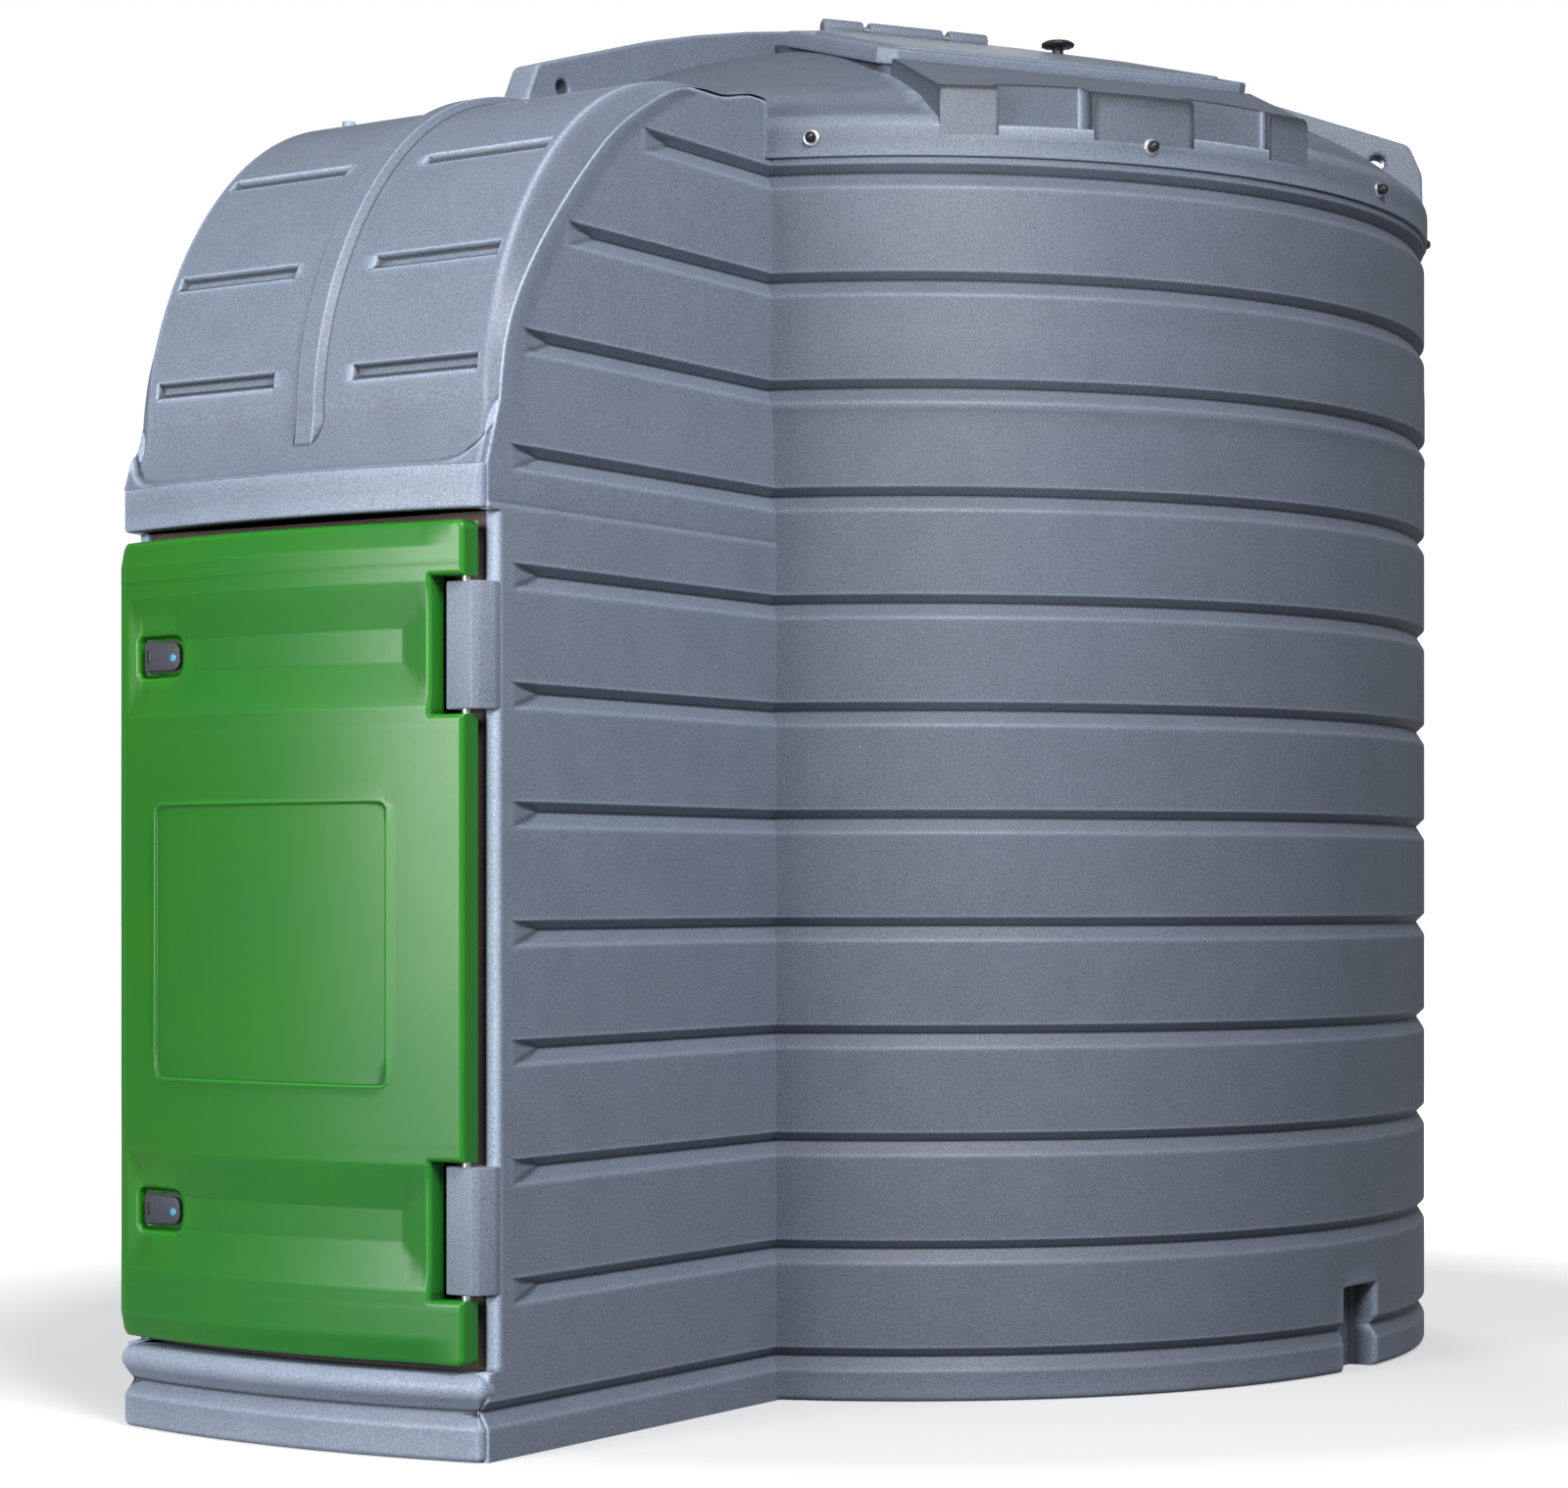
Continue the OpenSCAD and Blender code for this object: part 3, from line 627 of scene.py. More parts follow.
slotSteps = (-0.019, -0.016, -0.012, -0.008, -0.004, 0, 0.004, 0.008, 0.0105, 0.0125, 0.0145, 0.0165, 0.019)
slotLines = [(slotAngle + d / slotRise) / 90 for slotAngle in hood["slotAngles"] for d in slotSteps]
hoodRows = spread([-1 + i / 48 for i in range(49)], steps(0, 1, 100), slotLines,
                  [1 + i / 12 for i in range(1, 11)], [1.9, 1.93, 1.96, 1.98, 2.0, 2.01, 3.0])
edgeSteps = (0.005, 0.0055, 0.008, 0.012, 0.016, 0.019, 0.021, 0.023, 0.0245, 0.026, 0.028, 0.031, 0.036,
             0.042, 0.048, 0.056, 0.066, 0.08, 0.1)
slotEnds = (-0.008, -0.006, -0.004, -0.002, 0, 0.002)
ribSteps = (0.0, 0.01, 0.017, 0.0183, 0.0190, 0.0198, 0.0215, 0.025, 0.0285, 0.0302, 0.0310, 0.0318, 0.034,
            0.042, 0.055)
hoodCols = spread([s * (cabinet["half"] - d) for s in (-1, 1) for d in edgeSteps],
                  [s * (hood["slotAt"] + e * (hood["slotHalf"] + d))
                   for s in (-1, 1) for e in (-1, 1) for d in slotEnds],
                  [s * d for s in (-1, 1) for d in ribSteps], steps(-0.3, 0.3, 24))
piece = gridPiece("cabinetHood", hoodRows, hoodCols, hoodPoint)
finishPiece(piece, "tank", shadedHoodPlastic, ("cabinet_hood", "hood_rib"))
print("stage: hood done")


# the door: a leaf with two troughs, a label's place and notches for the hinge blocks
door = {"left": -0.431, "right": 0.392, "low": 0.168, "high": 1.645, "notch": 0.327,
        "proud": 0.0068, "thick": 0.0428, "blocks": (0.289, 1.314), "blockHeight": 0.226, "gap": 0.008,
        "rounding": 0.009, "corner": 0.014, "latchX": -0.313, "latchZ": (0.408, 1.429),
        "troughDeep": 0.018, "trough": (0.111, 0.082), "troughLeft": (-0.396, -0.336),
        "troughRight": (0.262, 0.340), "pocketHalf": (0.055, 0.036), "pocketDeep": 0.0155,
        "label": (-0.313, 0.240, 0.655, 1.153), "labelDeep": 0.0034, "labelLip": (0.0012, 0.003)}
notches = [(z - door["gap"], z + door["blockHeight"] + door["gap"]) for z in door["blocks"]]


def doorDistance(x, z):  # distance to the door's outline, notches too
    d = min(x - door["left"], door["right"] - x, z - door["low"], door["high"] - z)
    for a, b in notches:
        dx = door["notch"] - x
        dz = max(a - z, z - b)
        if dz <= 0:
            d = min(d, dx)
        elif dx < 0:
            d = min(d, dz)
        else:
            d = min(d, math.hypot(dx, dz))
    return d


def boxInside(x, z, x0, x1, z0, z1, radius):  # signed distance into a rounded rectangle
    cx, cz = (x0 + x1) / 2, (z0 + z1) / 2
    qx = abs(x - cx) - (x1 - x0) / 2 + radius
    qz = abs(z - cz) - (z1 - z0) / 2 + radius
    return radius - min(max(qx, qz), 0) - math.hypot(max(qx, 0), max(qz, 0))


def doorDepth(x, z):  # the leaf falls off towards its upper, lower and left edges
    depth = edgeRound(doorDistance(x, z), door["rounding"])
    rim = min(z - door["low"], door["high"] - z)
    depth += 0.010 * (1 - ramp(0.004, 0.046, rim)) * (1 - ramp(0.31, 0.372, x))
    depth += 0.006 * (1 - smooth(0.0, 0.022, x - door["left"]))
    outer, run = door["trough"]
    halfX, halfZ = door["pocketHalf"]
    for zc in door["latchZ"]:
        dz = abs(z - zc)
        if dz < 0.14:
            rise = ramp(0, 1, (outer - dz) / run)
            ends = min(ramp(*door["troughLeft"], x), 1 - ramp(*door["troughRight"], x))
            depth += door["troughDeep"] * softStep(min(rise, ends), 0.06)
            corner = 0.020 if x > door["latchX"] else 0.010
            latch = boxInside(x, z, door["latchX"] - halfX, door["latchX"] + halfX, zc - halfZ, zc + halfZ,
                              corner)
            depth += door["pocketDeep"] * smooth(-0.007, 0.003, latch)
    label = boxInside(x, z, *door["label"], 0.016)
    depth += door["labelDeep"] * smooth(-0.0018, 0.0012, label)
    lip, wide = door["labelLip"]
    return depth - lip * math.exp(-((label + wide) / wide) ** 2)


def cornerRound(x, z):  # pulls the grid's square corners in to arcs
    radius = door["corner"]
    for cx, sx in ((door["left"], 1), (door["right"], -1)):
        for cz, sz in ((door["low"], 1), (door["high"], -1)):
            u = radius - (x - cx) * sx
            v = radius - (z - cz) * sz
            if 0 < u <= radius + 1e-9 and 0 < v <= radius + 1e-9:
                scale = max(u, v) / math.hypot(u, v)
                return cx + sx * (radius - u * scale), cz + sz * (radius - v * scale)
    return x, z


def doorPoint(z, x):
    depth = doorDepth(x, z)
    px, pz = cornerRound(x, z)
    return (px, -bowFront(px, door["proud"] - depth), pz)


def doorBack(z, x):
    return (x, -bowFront(x, door["proud"] - door["thick"] + 0.001), z)


def doorKeep(z, x):
    return not (x > door["notch"] and any(a < z < b for a, b in notches))


edgeSet = (0, 0.0005, 0.002, 0.0045, 0.0075, 0.010, 0.014, 0.02, 0.03, 0.04, 0.047, 0.053)
fineSet = (-0.009, -0.006, -0.004, -0.002, 0, 0.002, 0.004)
labelSet = (-0.008, -0.005, -0.003, -0.0015, 0, 0.0015, 0.004)
doorCols = spread([door["left"] + d for d in edgeSet], [door["right"] - d for d in edgeSet],
                  [door["notch"] + d for d in (0.0, 0.004, 0.01, 0.016)],
                  [door["notch"] - d for d in edgeSet],
                  [door["latchX"] + s * door["pocketHalf"][0] + d for s in (-1, 1) for d in fineSet],
                  [v + d for v in door["label"][:2] for d in labelSet],
                  [-0.396, -0.336, 0.262, 0.31, 0.340, 0.372], steps(-0.36, 0.3, 33))
doorRows = spread([door["low"] + d for d in edgeSet], [door["high"] - d for d in edgeSet],
                  [a - d for a, b in notches for d in edgeSet],
                  [b + d for a, b in notches for d in edgeSet],
                  [z + s * door["pocketHalf"][1] + d for z in door["latchZ"] for s in (-1, 1)
                   for d in fineSet],
                  [z + s * v + d for z in door["latchZ"] for s in (-1, 1) for v in (0.029, 0.111)
                   for d in (-0.004, -0.0015, 0.0015, 0.004)],
                  [v + d for v in door["label"][2:] for d in labelSet], steps(0.2, 1.62, 56))
leaf = gridPiece("doorLeaf", doorRows, doorCols, doorPoint, keep=doorKeep)
bm = bmesh.new()
bm.from_mesh(leaf.data)
rim = [e for e in bm.edges if e.is_boundary]
made = bmesh.ops.extrude_edge_only(bm, edges=rim)
for v in [g for g in made["geom"] if isinstance(g, bmesh.types.BMVert)]:
    v.co.y = doorBack(v.co.z, v.co.x)[1]
bmesh.ops.recalc_face_normals(bm, faces=bm.faces)
bm.to_mesh(leaf.data)
bm.free()
leaf.data.shade_smooth()
leaf.data.set_sharp_from_angle(angle=deg(60))
finishPiece(leaf, "door", doorPlastic, ("door",))

backRows = spread([door["low"], door["high"]], [v for n in notches for v in n], steps(0.2, 1.6, 10))
backCols = spread([door["left"], door["notch"], door["right"]], steps(-0.4, 0.3, 14))
back = gridPiece("doorBack", backRows, backCols, doorBack, flip=True, keep=doorKeep)
finishPiece(back, "door", doorPlastic)
print("stage: door done")

# hinge blocks grow from the cabinet's corner
hingeBlock = {"inset": 0.0005, "bevel": 0.0035,
              "plan": [(0.3365, -2.003), (0.3365, -2.050), (0.342, -2.0575), (0.396, -2.0565),
                       (0.408, -2.049), (0.4235, -2.022), (0.4235, -2.003)]}
for name, z in (("Lower", door["blocks"][0]), ("Upper", door["blocks"][1])):
    bottom, top = z + hingeBlock["inset"], z + door["blockHeight"] - hingeBlock["inset"]
    block = prism("hingeBlock" + name, hingeBlock["plan"], bottom, top, hingeBlock["bevel"])
    finishPiece(block, "tank", fittingPlastic, ("hinge_block_" + name.lower(),))

# latches: a tray, a lever with a blue lock and a slit
latchY = bowFront(door["latchX"], door["proud"] - 0.018)
latch = {"trayHalf": (0.046, 0.030), "leverHalf": (0.043, 0.0255), "lockAt": (0.027, -0.003),
         "lockProfile": [(0.0, 0.0012), (0.006, 0.0012), (0.0072, 0.0006), (0.0072, 0.0)]}


def latchPlate(name, xs, zs, ys, radius):  # flat left end, round right end
    (x0, x1), (z0, z1), (y0, y1) = xs, zs, ys
    outline = [(x0, z0)]
    for a in steps(-90, 90, 10):
        middle = (z0 + z1) / 2 + ((z1 - z0) / 2 - radius) * (1 if a > 0 else -1)
        outline.append((x1 - radius + radius * math.cos(deg(a)), middle + radius * math.sin(deg(a))))
    outline.append((x0, z1))
    plate = prism(name, outline, 0, y1 - y0, 0.0012, 2)
    return turned(plate, Matrix.Translation((0, y1 - latchY, 0)) @ Matrix.Rotation(deg(90), 4, "X"))


def aroundLatch(z, half):
    x = door["latchX"]
    return (x - half[0], x + half[0]), (z - half[1], z + half[1])


for name, z in (("Lower", door["latchZ"][0]), ("Upper", door["latchZ"][1])):
    x, lower = door["latchX"], name.lower()
    tray = latchPlate("latchTray" + name, *aroundLatch(z, latch["trayHalf"]), (0.010, 0.016), 0.012)
    finishPiece(tray, "door", latchPlastic, ("latch_tray_" + lower,))
    lever = latchPlate("latchLever" + name, *aroundLatch(z, latch["leverHalf"]), (0.0, 0.008), 0.018)
    finishPiece(lever, "latch_lever_" + lower, latchPlastic, ("latch_lever_" + lower,))
    disc = latheRows(latch["lockProfile"], 24, "latchLock" + name)
    lockPlace = (x + latch["lockAt"][0], -latchY, z + latch["lockAt"][1])
    turned(disc, Matrix.Translation(lockPlace) @ Matrix.Rotation(deg(90), 4, "X"))
    finishPiece(disc, "latch_lever_" + lower, lockBlue)
    slit = latchPlate("latchSlit" + name, (x - 0.037, x - 0.029), (z - 0.010, z + 0.012),
                      (-0.0006, 0.001), 0.003)
    finishPiece(slit, "latch_lever_" + lower, blackPlastic)
print("stage: latches done")


# the lid: a along the hatch's own direction, b across it
lid = {"rim": 1.2078, "seatRim": 1.2079, "top": 2.86, "ball": 2.29, "turn": deg(-34), "tilt": deg(16),
       "foot": 2.4285, "shoulder": 0.034, "shoulderZ": 2.484, "sink": 0.09, "sinkZ": 2.49,
       "hole": (0.19, 0.83, 0.27)}
seat = {"half": 0.415, "backHalf": 0.215, "backAt": 0.052, "z": 2.65, "cover": 0.905, "end": 0.9085,
        "stepZ": 2.649, "ledge": 0.9125, "ledgeZ": 2.664, "rimZ": 2.563,
        "foot": 2.470, "rimRound": (0.018, 0.016), "taperAt": 0.11, "taper": 0.2 / 0.29,
        "padAt": 0.208, "padHalf": 0.093, "padBack": 1.142, "hole": (0.24, 0.78, 0.2)}
lidTurn = Matrix.Rotation(lid["turn"], 4, "Z")


def lidFrame(a, b, z):  # from the hatch's own directions to x, y, z
    c, s = math.cos(lid["turn"]), math.sin(lid["turn"])
    return (a * c - b * s, a * s + b * c, z)


def hatchFrame(r, angle):  # the other way, from a radius and an angle
    local = angle - lid["turn"]
    return r * math.cos(local), r * math.sin(local)


def domeZ(r):
    return lid["top"] - lid["ball"] + math.sqrt(lid["ball"] ** 2 - r * r)


def seatHalf(a):  # half the seat's width, narrow at the back
    return min(seat["half"], seat["backHalf"] + max(0.0, a - seat["taperAt"]) * seat["taper"])


def seatZ(a, b):  # the tilted seat, and past its end the ledge that falls to the rim
    if a <= seat["end"]:
        return seat["z"] + (seat["cover"] - a) * math.tan(lid["tilt"])
    rim = math.sqrt(lid["seatRim"] ** 2 - min(abs(b), 0.42) ** 2)
    fall = seat["rimZ"] - seat["ledgeZ"]
    ledge = seat["ledgeZ"] + fall * (a - seat["ledge"]) / (rim - seat["ledge"])
    return seat["stepZ"] + (ledge - seat["stepZ"]) * smooth(seat["end"], seat["ledge"], a)


shoulder = lid["shoulder"]
skirtProfile = [(1.196, lid["foot"]), (1.2055, lid["foot"]), (1.2072, 2.4295), (1.2076, 2.432),
                (lid["rim"], 2.46), (lid["rim"], lid["shoulderZ"])]
skirtProfile += [(lid["rim"] - shoulder + shoulder * math.cos(deg(a)),
                  lid["shoulderZ"] + shoulder * math.sin(deg(a))) for a in (10, 20, 30, 40, 50, 58)]
for r in [1.185, 1.175, 1.16, 1.14] + steps(1.12, 0.02, 55) + [0.001]:
    skirtProfile.append((r, domeZ(r) - 0.012 * smooth(1.11, 1.19, r)))


def lidPoint(row, angle):  # the dome sinks away under the seat
    r, z = skirtProfile[row]
    a, b = hatchFrame(r, angle)
    if a > 0.05 and z > lid["sinkZ"]:
        inside = seatHalf(a) - 0.02 - abs(b)
        z -= lid["sink"] * smooth(0, 0.02, inside) * smooth(0.05, 0.08, a)
        z = max(z, lid["sinkZ"])
    return (r * math.cos(angle), r * math.sin(angle), z)


def lidKeep(row, angle):  # a hole wider than the seat's
    a, b = hatchFrame(skirtProfile[int(row)][0], angle)
    low, high, half = lid["hole"]
    return not (low < a < high and abs(b) < half)


dome = gridPiece("lidDome", range(len(skirtProfile)), around(288), lidPoint, closed=True, keep=lidKeep)
finishPiece(dome, "tank", shadedShellPlastic, ("lid_skirt", "lid_dome"))


# the hatch's seat: a grid along the lid's own directions, ended by the rim
def seatSpan(b):  # inner and outer end of the seat's top at b
    edge = math.sqrt(lid["seatRim"] ** 2 - b * b)
    return seat["backAt"] + max(0.0, abs(b) - seat["backHalf"]) / seat["taper"], edge - seat["rimRound"][0]


def seatAlong(row, b):  # how far out a row lies: under the cover, the ledge's step, the ledge
    start, edge = seatSpan(min(abs(b), seat["half"]))
    if row <= 0.75:
        return start + (seat["end"] - start) * max(row, 0) / 0.75
    if row <= 0.76:
        return seat["end"] + 0.4 * (row - 0.75)
    return seat["ledge"] + (edge - seat["ledge"]) * (row - 0.76) / 0.24


def seatPoint(row, b):
    limit = seat["half"]
    edge = seatSpan(min(abs(b), limit))[1]
    wide = limit
    if row <= 1:
        a = seatAlong(row, b)
        wide += 0.014 * (1 - ramp(0.85, seat["end"], a))  # wider under the cover
    bb = math.copysign(min(abs(b), limit) * wide / limit, b)
    if row <= 1:
        z = seatZ(a, bb)
        if row < 0:
            z = domeZ(math.hypot(a, bb)) - 0.03
    else:
        turn = min(1, (row - 1) * 3) * math.pi / 2
        out, down = seat["rimRound"]
        a = edge + out * math.sin(turn)
        z = seatZ(edge, bb) - down * (1 - math.cos(turn))
        z += (seat["foot"] - z) * ramp(1.34, 2, row)
    fall = abs(b) - (limit - 0.006)
    if fall > 0:
        z -= edgeRound(max(0.0, 0.006 - fall), 0.006)
        if abs(b) > limit:
            z = seat["foot"] if row > 1 else min(z, domeZ(min(1.2, math.hypot(a, bb))) - 0.03)
    fromPad = seat["padHalf"] - abs(abs(bb) - seat["padAt"])
    if fromPad > -0.003 and a > seat["padBack"]:
        a = a + (seat["padBack"] - a) * smooth(-0.003, 0.0, fromPad)
    return lidFrame(a, bb, z)


def seatKeep(row, b):
    low, high, half = seat["hole"]
    return not (abs(b) < half and low < seatAlong(row, b) < high)


seatRows = spread([-1], steps(0, 0.75, 22), steps(0.75, 0.76, 4), steps(0.76, 0.9, 8), steps(0.9, 1, 24),
                  [0.763, 0.766, 1.0, 1.06, 1.12, 1.18, 1.24, 1.3334, 1.5, 1.75, 2.0])
seatEdges = (0.416, 0.415, 0.4144, 0.413, 0.411, 0.409, 0.405, 0.4)
padEdges = (-0.001, 0.0, 0.001, 0.002, 0.003, 0.004)
seatCols = spread([s * v for s in (-1, 1) for v in seatEdges],
                  [s * (seat["padAt"] + e * (seat["padHalf"] + d))
                   for s in (-1, 1) for e in (-1, 1) for d in padEdges],
                  steps(-0.39, 0.39, 40))
hatchSeat = gridPiece("hatchSeat", seatRows, seatCols, seatPoint, keep=seatKeep)
finishPiece(hatchSeat, "tank", shadedShellPlastic, ("hatch_seat",))
print("stage: lid done")


# lifting fins, hatch cover
def curvePlate(name, outline, thick, rounding, holes=()):  # flat outline, round holes, rounded edges
    curve = bpy.data.curves.new(name, "CURVE")
    curve.dimensions = "2D"
    curve.fill_mode = "BOTH"
    rings = [[(cx + r * math.cos(-a), cy + r * math.sin(-a)) for a in around(28)] for cx, cy, r in holes]
    for points in [outline] + rings:
        spline = curve.splines.new("POLY")
        spline.points.add(len(points) - 1)
        for p, (x, y) in zip(spline.points, points):
            p.co = (x, y, 0, 1)
        spline.use_cyclic_u = True
    curve.extrude = thick / 2 - rounding
    curve.bevel_depth = rounding
    curve.bevel_resolution = 3
    curve.offset = -rounding
    temp = bpy.data.objects.new(name + "Curve", curve)
    bpy.context.scene.collection.objects.link(temp)
    bpy.context.view_layer.update()
    graph = bpy.context.evaluated_depsgraph_get()
    mesh = bpy.data.meshes.new_from_object(temp.evaluated_get(graph))
    mesh.name = name
    bpy.data.objects.remove(temp)
    bpy.data.curves.remove(curve)
    mesh.shade_smooth()
    mesh.set_sharp_from_angle(angle=deg(55))
    return link(name, mesh)


def roundCorners(points, radii, count=6):  # a closed outline, its corners turned into arcs
    result = []
    n = len(points)
    for i, (x, y) in enumerate(points):
        radius = radii[i] if isinstance(radii, list) else radii
        p = Vector((x, y))
        before = Vector(points[i - 1]) - p
        after = Vector(points[(i + 1) % n]) - p
        if radius <= 0:
            result.append((x, y))
            continue
        angle = before.angle(after)
        reach = min(radius / math.tan(angle / 2), before.length * 0.45, after.length * 0.45)
        start = p + before.normalized() * reach
        end = p + after.normalized() * reach
        for t in steps(0, 1, count):
            q = (1 - t) ** 2 * start + 2 * t * (1 - t) * p + t * t * end
            result.append((q.x, q.y))
    return result


fin = {"outline": [(0.36, 2.70), (1.19, 2.49), (1.2035, 2.502), (1.201, 2.610), (1.172, 2.676),
                   (1.10, 2.699), (0.987, 2.734), (0.84, 2.780), (0.687, 2.820), (0.52, 2.857),
                   (0.36, 2.887)],
       "rounds": [0, 0, 0, 0.04, 0.03, 0.1, 0.2, 0.2, 0.2, 0.2, 0.02],
       "thick": 0.074, "rounding": 0.008, "hole": (1.1, 2.638, 0.017), "angles": (-64, 64, 180)}
finOutline = roundCorners(fin["outline"], fin["rounds"])
for i, angle in enumerate(fin["angles"]):
    plate = curvePlate("liftingFin%d" % (i + 1), finOutline, fin["thick"], fin["rounding"], [fin["hole"]])
    turned(plate, Matrix.Rotation(lid["turn"] + deg(angle), 4, "Z") @ Matrix.Rotation(deg(90), 4, "X"))
    finishPiece(plate, "tank", shadedShellPlastic, ("lifting_fins",) if i == 0 else ())

hatch = {"gap": 0.006, "thick": 0.034, "rounding": 0.005, "corner": 0.010, "lift": 0.013,
         "trimLeft": 0.993, "trimRight": 0.965,
         "panelThick": 0.022, "panelRounding": 0.006, "panelCorner": 0.03, "panelLift": 0.025,
         "outline": [(0.124, -0.23), (0.414, -0.435), (0.872, -0.435), (0.905, -0.402), (0.905, 0.402),
                     (0.872, 0.435), (0.414, 0.435), (0.124, 0.23)],
         "panel": [(-0.745, -0.215), (-0.50, -0.375), (-0.07, -0.375), (-0.045, -0.35), (-0.045, 0.35),
                   (-0.07, 0.375), (-0.50, 0.375), (-0.745, 0.215)]}
slopeLength = 1 / math.cos(lid["tilt"])
coverOutline = [((x - seat["cover"]) * slopeLength,
                 y * (hatch["trimLeft"] if y < 0 else hatch["trimRight"]))
                for x, y in hatch["outline"]]
coverOutline = roundCorners(coverOutline, hatch["corner"])
cover = curvePlate("hatchCover", coverOutline, hatch["thick"], hatch["rounding"])
place = (lidTurn @ Matrix.Translation((seat["cover"], 0, seat["z"] + hatch["gap"]))
         @ Matrix.Rotation(lid["tilt"], 4, "Y"))
turned(cover, place @ Matrix.Translation((0, 0, hatch["lift"])))
finishPiece(cover, "hatch_cover", fittingPlastic, ("hatch_cover",))
panelOutline = roundCorners(hatch["panel"], hatch["panelCorner"])
raised = curvePlate("hatchCoverPanel", panelOutline, hatch["panelThick"], hatch["panelRounding"])
turned(raised, place @ Matrix.Translation((0, 0, hatch["panelLift"])))
finishPiece(raised, "hatch_cover", fittingPlastic)

# the hatch's hinge: tubes, two posts and a web on the cover
hinge = {"a": 0.08, "z": seatZ(0.08, 0) + 0.044, "radius": 0.018,
         "postAt": 0.155, "postHalf": 0.045, "postZ": (2.876, 2.93)}


def knuckle(name, b0, b1, body, nodes=()):
    r = hinge["radius"]
    profile = [(0.0, b0), (r - 0.003, b0), (r - 0.0008, b0 + 0.0012), (r, b0 + 0.004), (r, b1 - 0.004),
               (r - 0.0008, b1 - 0.0012), (r - 0.003, b1), (0.0, b1)]
    tube = latheRows(profile, 32, name)
    turned(tube, lidTurn @ Matrix.Translation((hinge["a"], 0, hinge["z"]))
           @ Matrix.Rotation(deg(-90), 4, "X"))
    return finishPiece(tube, body, fittingPlastic, nodes)


knuckle("hatchKnuckleLeft", -0.2025, -0.1075, "tank", ("hatch_posts",))
knuckle("hatchKnuckleRight", 0.1075, 0.2025, "tank")
knuckle("hatchKnuckleMiddle", -0.09, 0.09, "hatch_cover")
for name, b in (("Left", -hinge["postAt"]), ("Right", hinge["postAt"])):
    near, far = b - hinge["postHalf"], b + hinge["postHalf"]
    post = prism("hatchPost" + name, [(0.064, near), (0.096, near), (0.096, far), (0.064, far)],
                 *hinge["postZ"], 0.004)
    turned(post, lidTurn)
    finishPiece(post, "tank", fittingPlastic)
web = prism("hatchHingeWeb", [(-0.875, -0.088), (-0.74, -0.088), (-0.74, 0.088), (-0.875, 0.088)],
            0.012, 0.029, 0.004)
turned(web, place)
finishPiece(web, "hatch_cover", fittingPlastic)

# knob on the hatch
knob = {"a": 0.3, "b": 0.275, "z": seatZ(0.3, 0.275) + 0.026, "ridges": 12,
        "profile": [(0.0, -0.006), (0.013, -0.006), (0.0128, 0.018), (0.012, 0.030), (0.03, 0.0305),
                    (0.0355, 0.031), (0.0378, 0.0335), (0.0372, 0.037), (0.030, 0.0415), (0.018, 0.0445),
                    (0.0, 0.0458)]}


def knobPoint(row, angle):
    r, z = knob["profile"][row]
    if r > 0.029 and z < 0.036:
        r -= 0.0018 * (0.5 + 0.5 * math.cos(knob["ridges"] * angle))
    return (r * math.cos(angle), r * math.sin(angle), z)


handle = gridPiece("hatchKnob", range(len(knob["profile"])), around(96), knobPoint, closed=True)
turned(handle, Matrix.Translation(lidFrame(knob["a"], knob["b"], knob["z"])))
finishPiece(handle, "hatch_knob", blackPlastic, ("hatch_knob",))

# rim bolts and washers, each a joined mesh
rimBolt = {"z": 2.465, "first": 24, "step": 32.6, "count": 5,
           "washer": [(0.017, 0.0), (0.017, 0.002), (0.0165, 0.0032), (0.0145, 0.004), (0.010, 0.004)],
           "head": [(0.011, 0.0038), (0.011, 0.010), (0.0102, 0.015), (0.0082, 0.0188), (0.005, 0.0212),
                    (0.0005, 0.0219)]}


def rimRing(name, profile, material, node):
    mesh = bpy.data.meshes.new(name)
    bm = bmesh.new()
    angles = around(24)
    for way in (-1, 1):
        for i in range(rimBolt["count"]):
            turn = Matrix.Rotation(deg(-90 + way * (rimBolt["first"] + rimBolt["step"] * i)), 4, "Z")
            spot = (turn @ Matrix.Translation((lid["rim"], 0, rimBolt["z"]))
                    @ Matrix.Rotation(deg(90), 4, "Y"))
            rings = []
            for r, h in profile:
                ring = [spot @ Vector((r * math.cos(a), r * math.sin(a), h)) for a in angles]
                rings.append([bm.verts.new(v) for v in ring])
            for one, two in zip(rings, rings[1:]):
                for j in range(24):
                    bm.faces.new((one[j], one[(j + 1) % 24], two[(j + 1) % 24], two[j]))
    bmesh.ops.remove_doubles(bm, verts=bm.verts, dist=1e-5)
    bm.to_mesh(mesh)
    bm.free()
    mesh.shade_smooth()
    return finishPiece(link(name, mesh), "tank", material, (node,))


rimRing("rimWashers", rimBolt["washer"], zincSteel, "rim_washers")
rimRing("rimBolts", rimBolt["head"], blackPlastic, "rim_bolts")
print("stage: lid fittings done")

# CAD pieces that stay get their materials
slotMaterials = {"shell": shellPlastic, "inner_shell": innerPlastic, "door": doorPlastic,
                 "black_plastic": blackPlastic, "zinc": zincSteel}
nodeSlots = {p["node"]: p["material_slot"] for p in frame["record"]["subparts"]}
for name, obj in frame["nodes"].items():
    obj.data.materials.clear()
    obj.data.materials.append(slotMaterials[nodeSlots[name]])
    obj.data.shade_smooth()
    obj.data.set_sharp_from_angle(angle=deg(35))

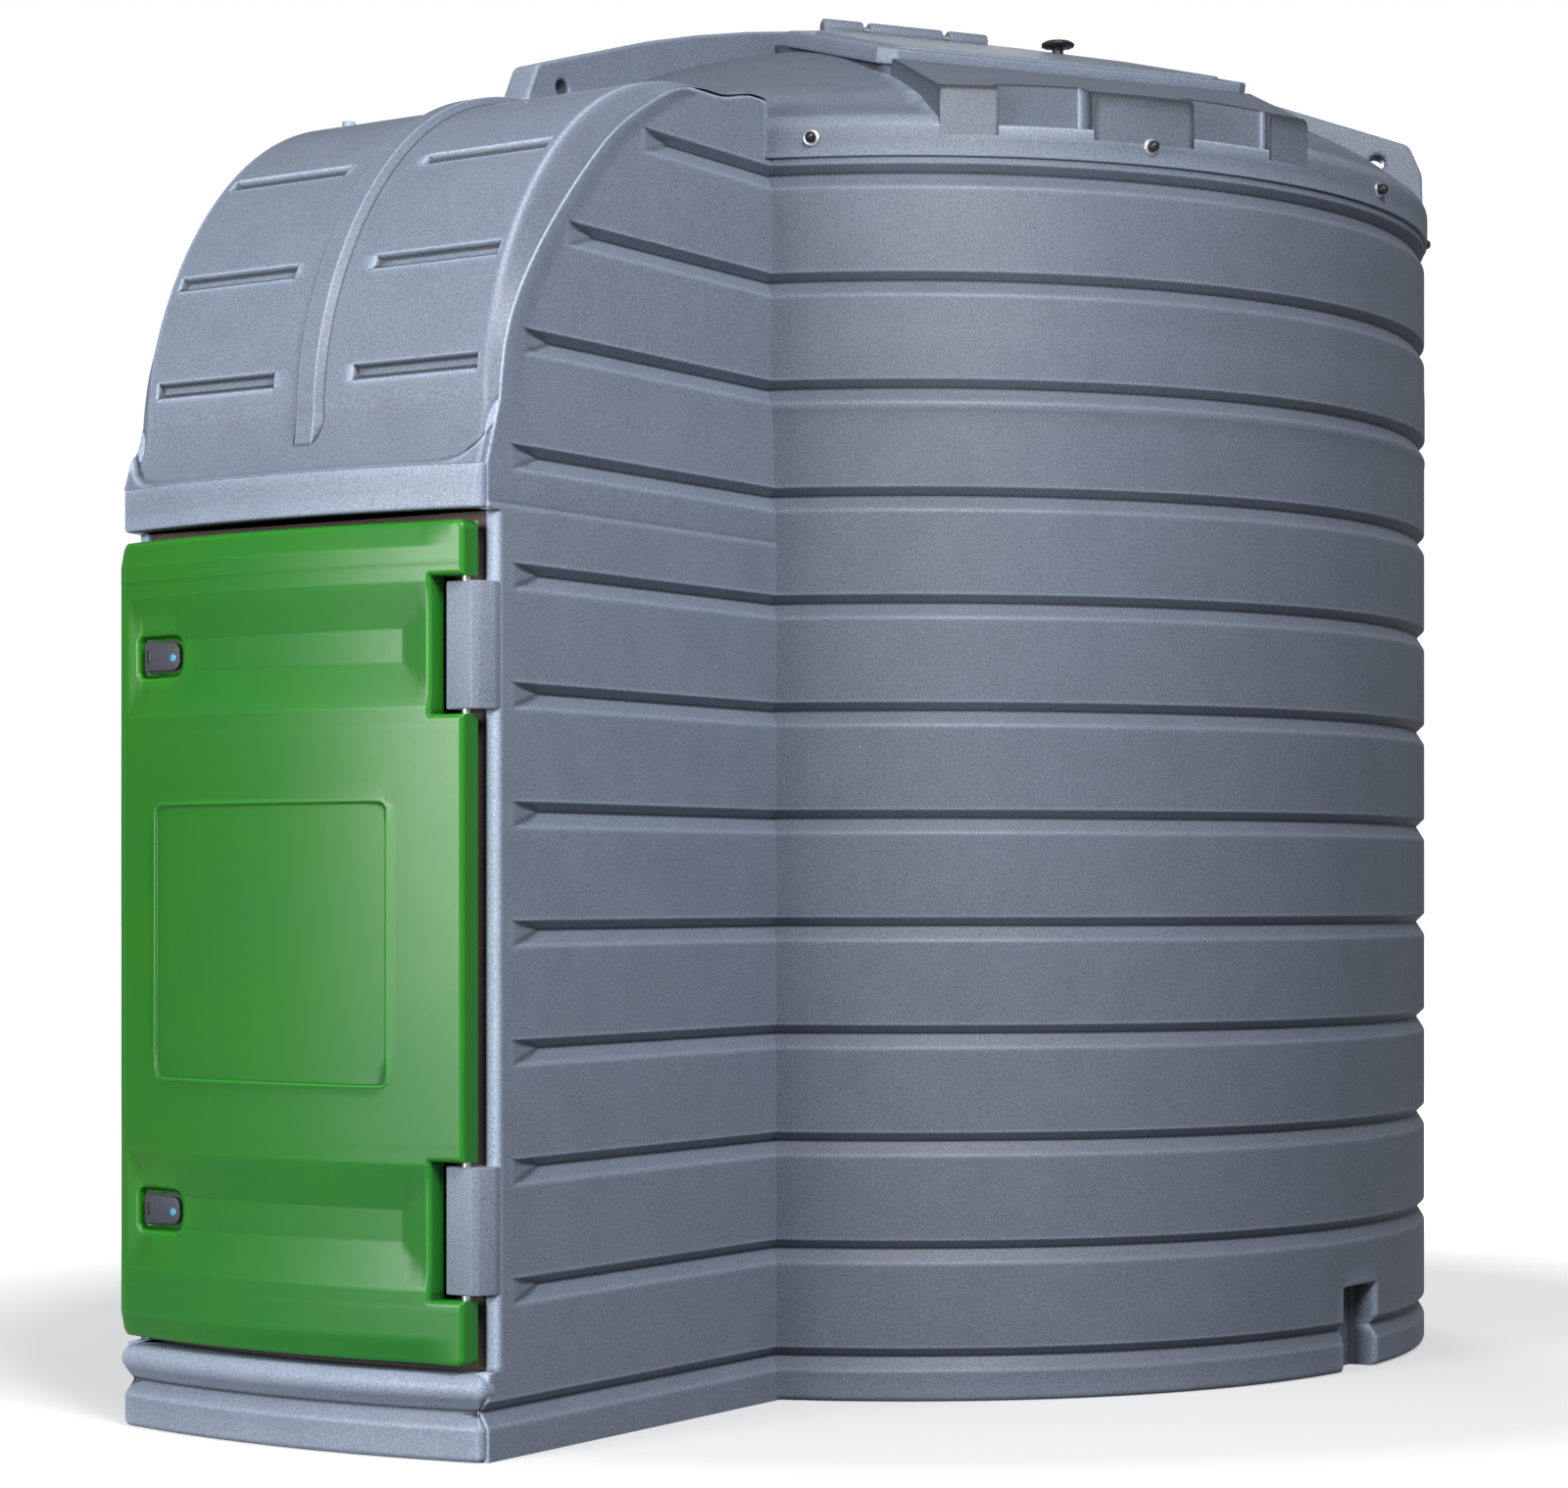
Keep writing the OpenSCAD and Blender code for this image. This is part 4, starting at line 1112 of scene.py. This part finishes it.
# floor: white to the camera away from the tank, dark to the light so that it throws little back
floorLook = {"forCamera": (0.50, 0.50, 0.50, 1), "forLight": (0.07, 0.07, 0.075, 1), "nearGlow": 0.40,
             "glowFrom": 1.9, "glowTo": 3.2, "half": 60, "z": -0.0006}
h, z = floorLook["half"], floorLook["z"]
floorMesh = bpy.data.meshes.new("floorPlane")
floorMesh.from_pydata([(-h, -h, z), (h, -h, z), (h, h, z), (-h, h, z)], [], [(0, 1, 2, 3)])
floor = link("floorPlane", floorMesh)
floorPaint = bpy.data.materials.new("floorPaint")
floorPaint.use_nodes = True
tree = floorPaint.node_tree
floorShader = tree.nodes["Principled BSDF"]
floorShader.inputs["Roughness"].default_value = 0.8
floorShader.inputs["Specular IOR Level"].default_value = 0.0
coord = addNode(tree, "ShaderNodeTexCoord")
distance = addNode(tree, "ShaderNodeVectorMath", operation="LENGTH")
tree.links.new(coord.outputs["Object"], distance.inputs[0])
far = addNode(tree, "ShaderNodeMapRange", From_Min=floorLook["glowFrom"], From_Max=floorLook["glowTo"],
              To_Min=floorLook["nearGlow"], To_Max=1.0)
tree.links.new(distance.outputs["Value"], far.inputs["Value"])
rays = addNode(tree, "ShaderNodeLightPath")
seen = addNode(tree, "ShaderNodeMath", operation="MAXIMUM")
tree.links.new(rays.outputs["Is Camera Ray"], seen.inputs[0])
tree.links.new(rays.outputs["Is Glossy Ray"], seen.inputs[1])
paint = addNode(tree, "ShaderNodeMix", data_type="RGBA")
tree.links.new(seen.outputs[0], paint.inputs["Factor"])
paint.inputs[6].default_value = floorLook["forLight"]
paint.inputs[7].default_value = floorLook["forCamera"]
tree.links.new(paint.outputs[2], floorShader.inputs["Base Color"])
glow = addNode(tree, "ShaderNodeMath", operation="MULTIPLY")
tree.links.new(far.outputs["Result"], glow.inputs[0])
tree.links.new(rays.outputs["Is Camera Ray"], glow.inputs[1])
floorShader.inputs["Emission Color"].default_value = (1, 1, 1, 1)
tree.links.new(glow.outputs[0], floorShader.inputs["Emission Strength"])
floorMesh.materials.append(floorPaint)

# world: dim light, white where the camera sees it
world = bpy.data.worlds.new("studio")
bpy.context.scene.world = world
world.use_nodes = True
tree = world.node_tree
tree.nodes.clear()
output = addNode(tree, "ShaderNodeOutputWorld")
lit = addNode(tree, "ShaderNodeBackground", Strength=0.26)
lit.inputs["Color"].default_value = (0.93, 0.96, 1.0, 1)
backdrop = addNode(tree, "ShaderNodeBackground", Strength=1.0)
backdrop.inputs["Color"].default_value = (1.0, 1.0, 1.0, 1)
rays = addNode(tree, "ShaderNodeLightPath")
either = addNode(tree, "ShaderNodeMixShader")
tree.links.new(rays.outputs["Is Camera Ray"], either.inputs["Fac"])
tree.links.new(lit.outputs[0], either.inputs[1])
tree.links.new(backdrop.outputs[0], either.inputs[2])
tree.links.new(either.outputs[0], output.inputs["Surface"])


def areaLight(name, spot, target, size, watts):
    data = bpy.data.lights.new(name, "AREA")
    data.shape = "RECTANGLE"
    data.size, data.size_y = size, size
    data.energy = watts
    lamp = bpy.data.objects.new(name, data)
    lamp.location = spot
    lamp.rotation_euler = (Vector(target) - Vector(spot)).to_track_quat("-Z", "Y").to_euler()
    bpy.context.scene.collection.objects.link(lamp)


areaLight("highRight", (4.2, -4.2, 5.0), (0.4, -0.8, 1.2), 2.0, 330)
areaLight("front", (-1.2, -9.5, 2.4), (0, -2.0, 1.0), 3.0, 560)
areaLight("backLeft", (-5.0, 7.0, 4.5), (0, 0, 1.3), 3.0, 420)

# camera: level, its picture shifted up; turn is its angle to the right of straight ahead
view = {"turn": deg(32.963), "distance": 8.2325, "sideways": -0.2411, "height": 1.0024, "lens": 82.843,
        "shift": 0.0917}
camera = bpy.data.cameras.new("camera")
camera.sensor_width = 36
camera.lens = view["lens"]
camera.shift_y = view["shift"]
camera.clip_end = 200
eye = bpy.data.objects.new("camera", camera)
c, s = math.cos(view["turn"]), math.sin(view["turn"])
eye.location = (s * view["distance"] + c * view["sideways"], -c * view["distance"] + s * view["sideways"],
                view["height"])
eye.rotation_euler = (math.pi / 2, 0, view["turn"])
bpy.context.scene.collection.objects.link(eye)
bpy.context.scene.camera = eye
bpy.context.scene.view_settings.view_transform = "Standard"

print("stage: scene finished")
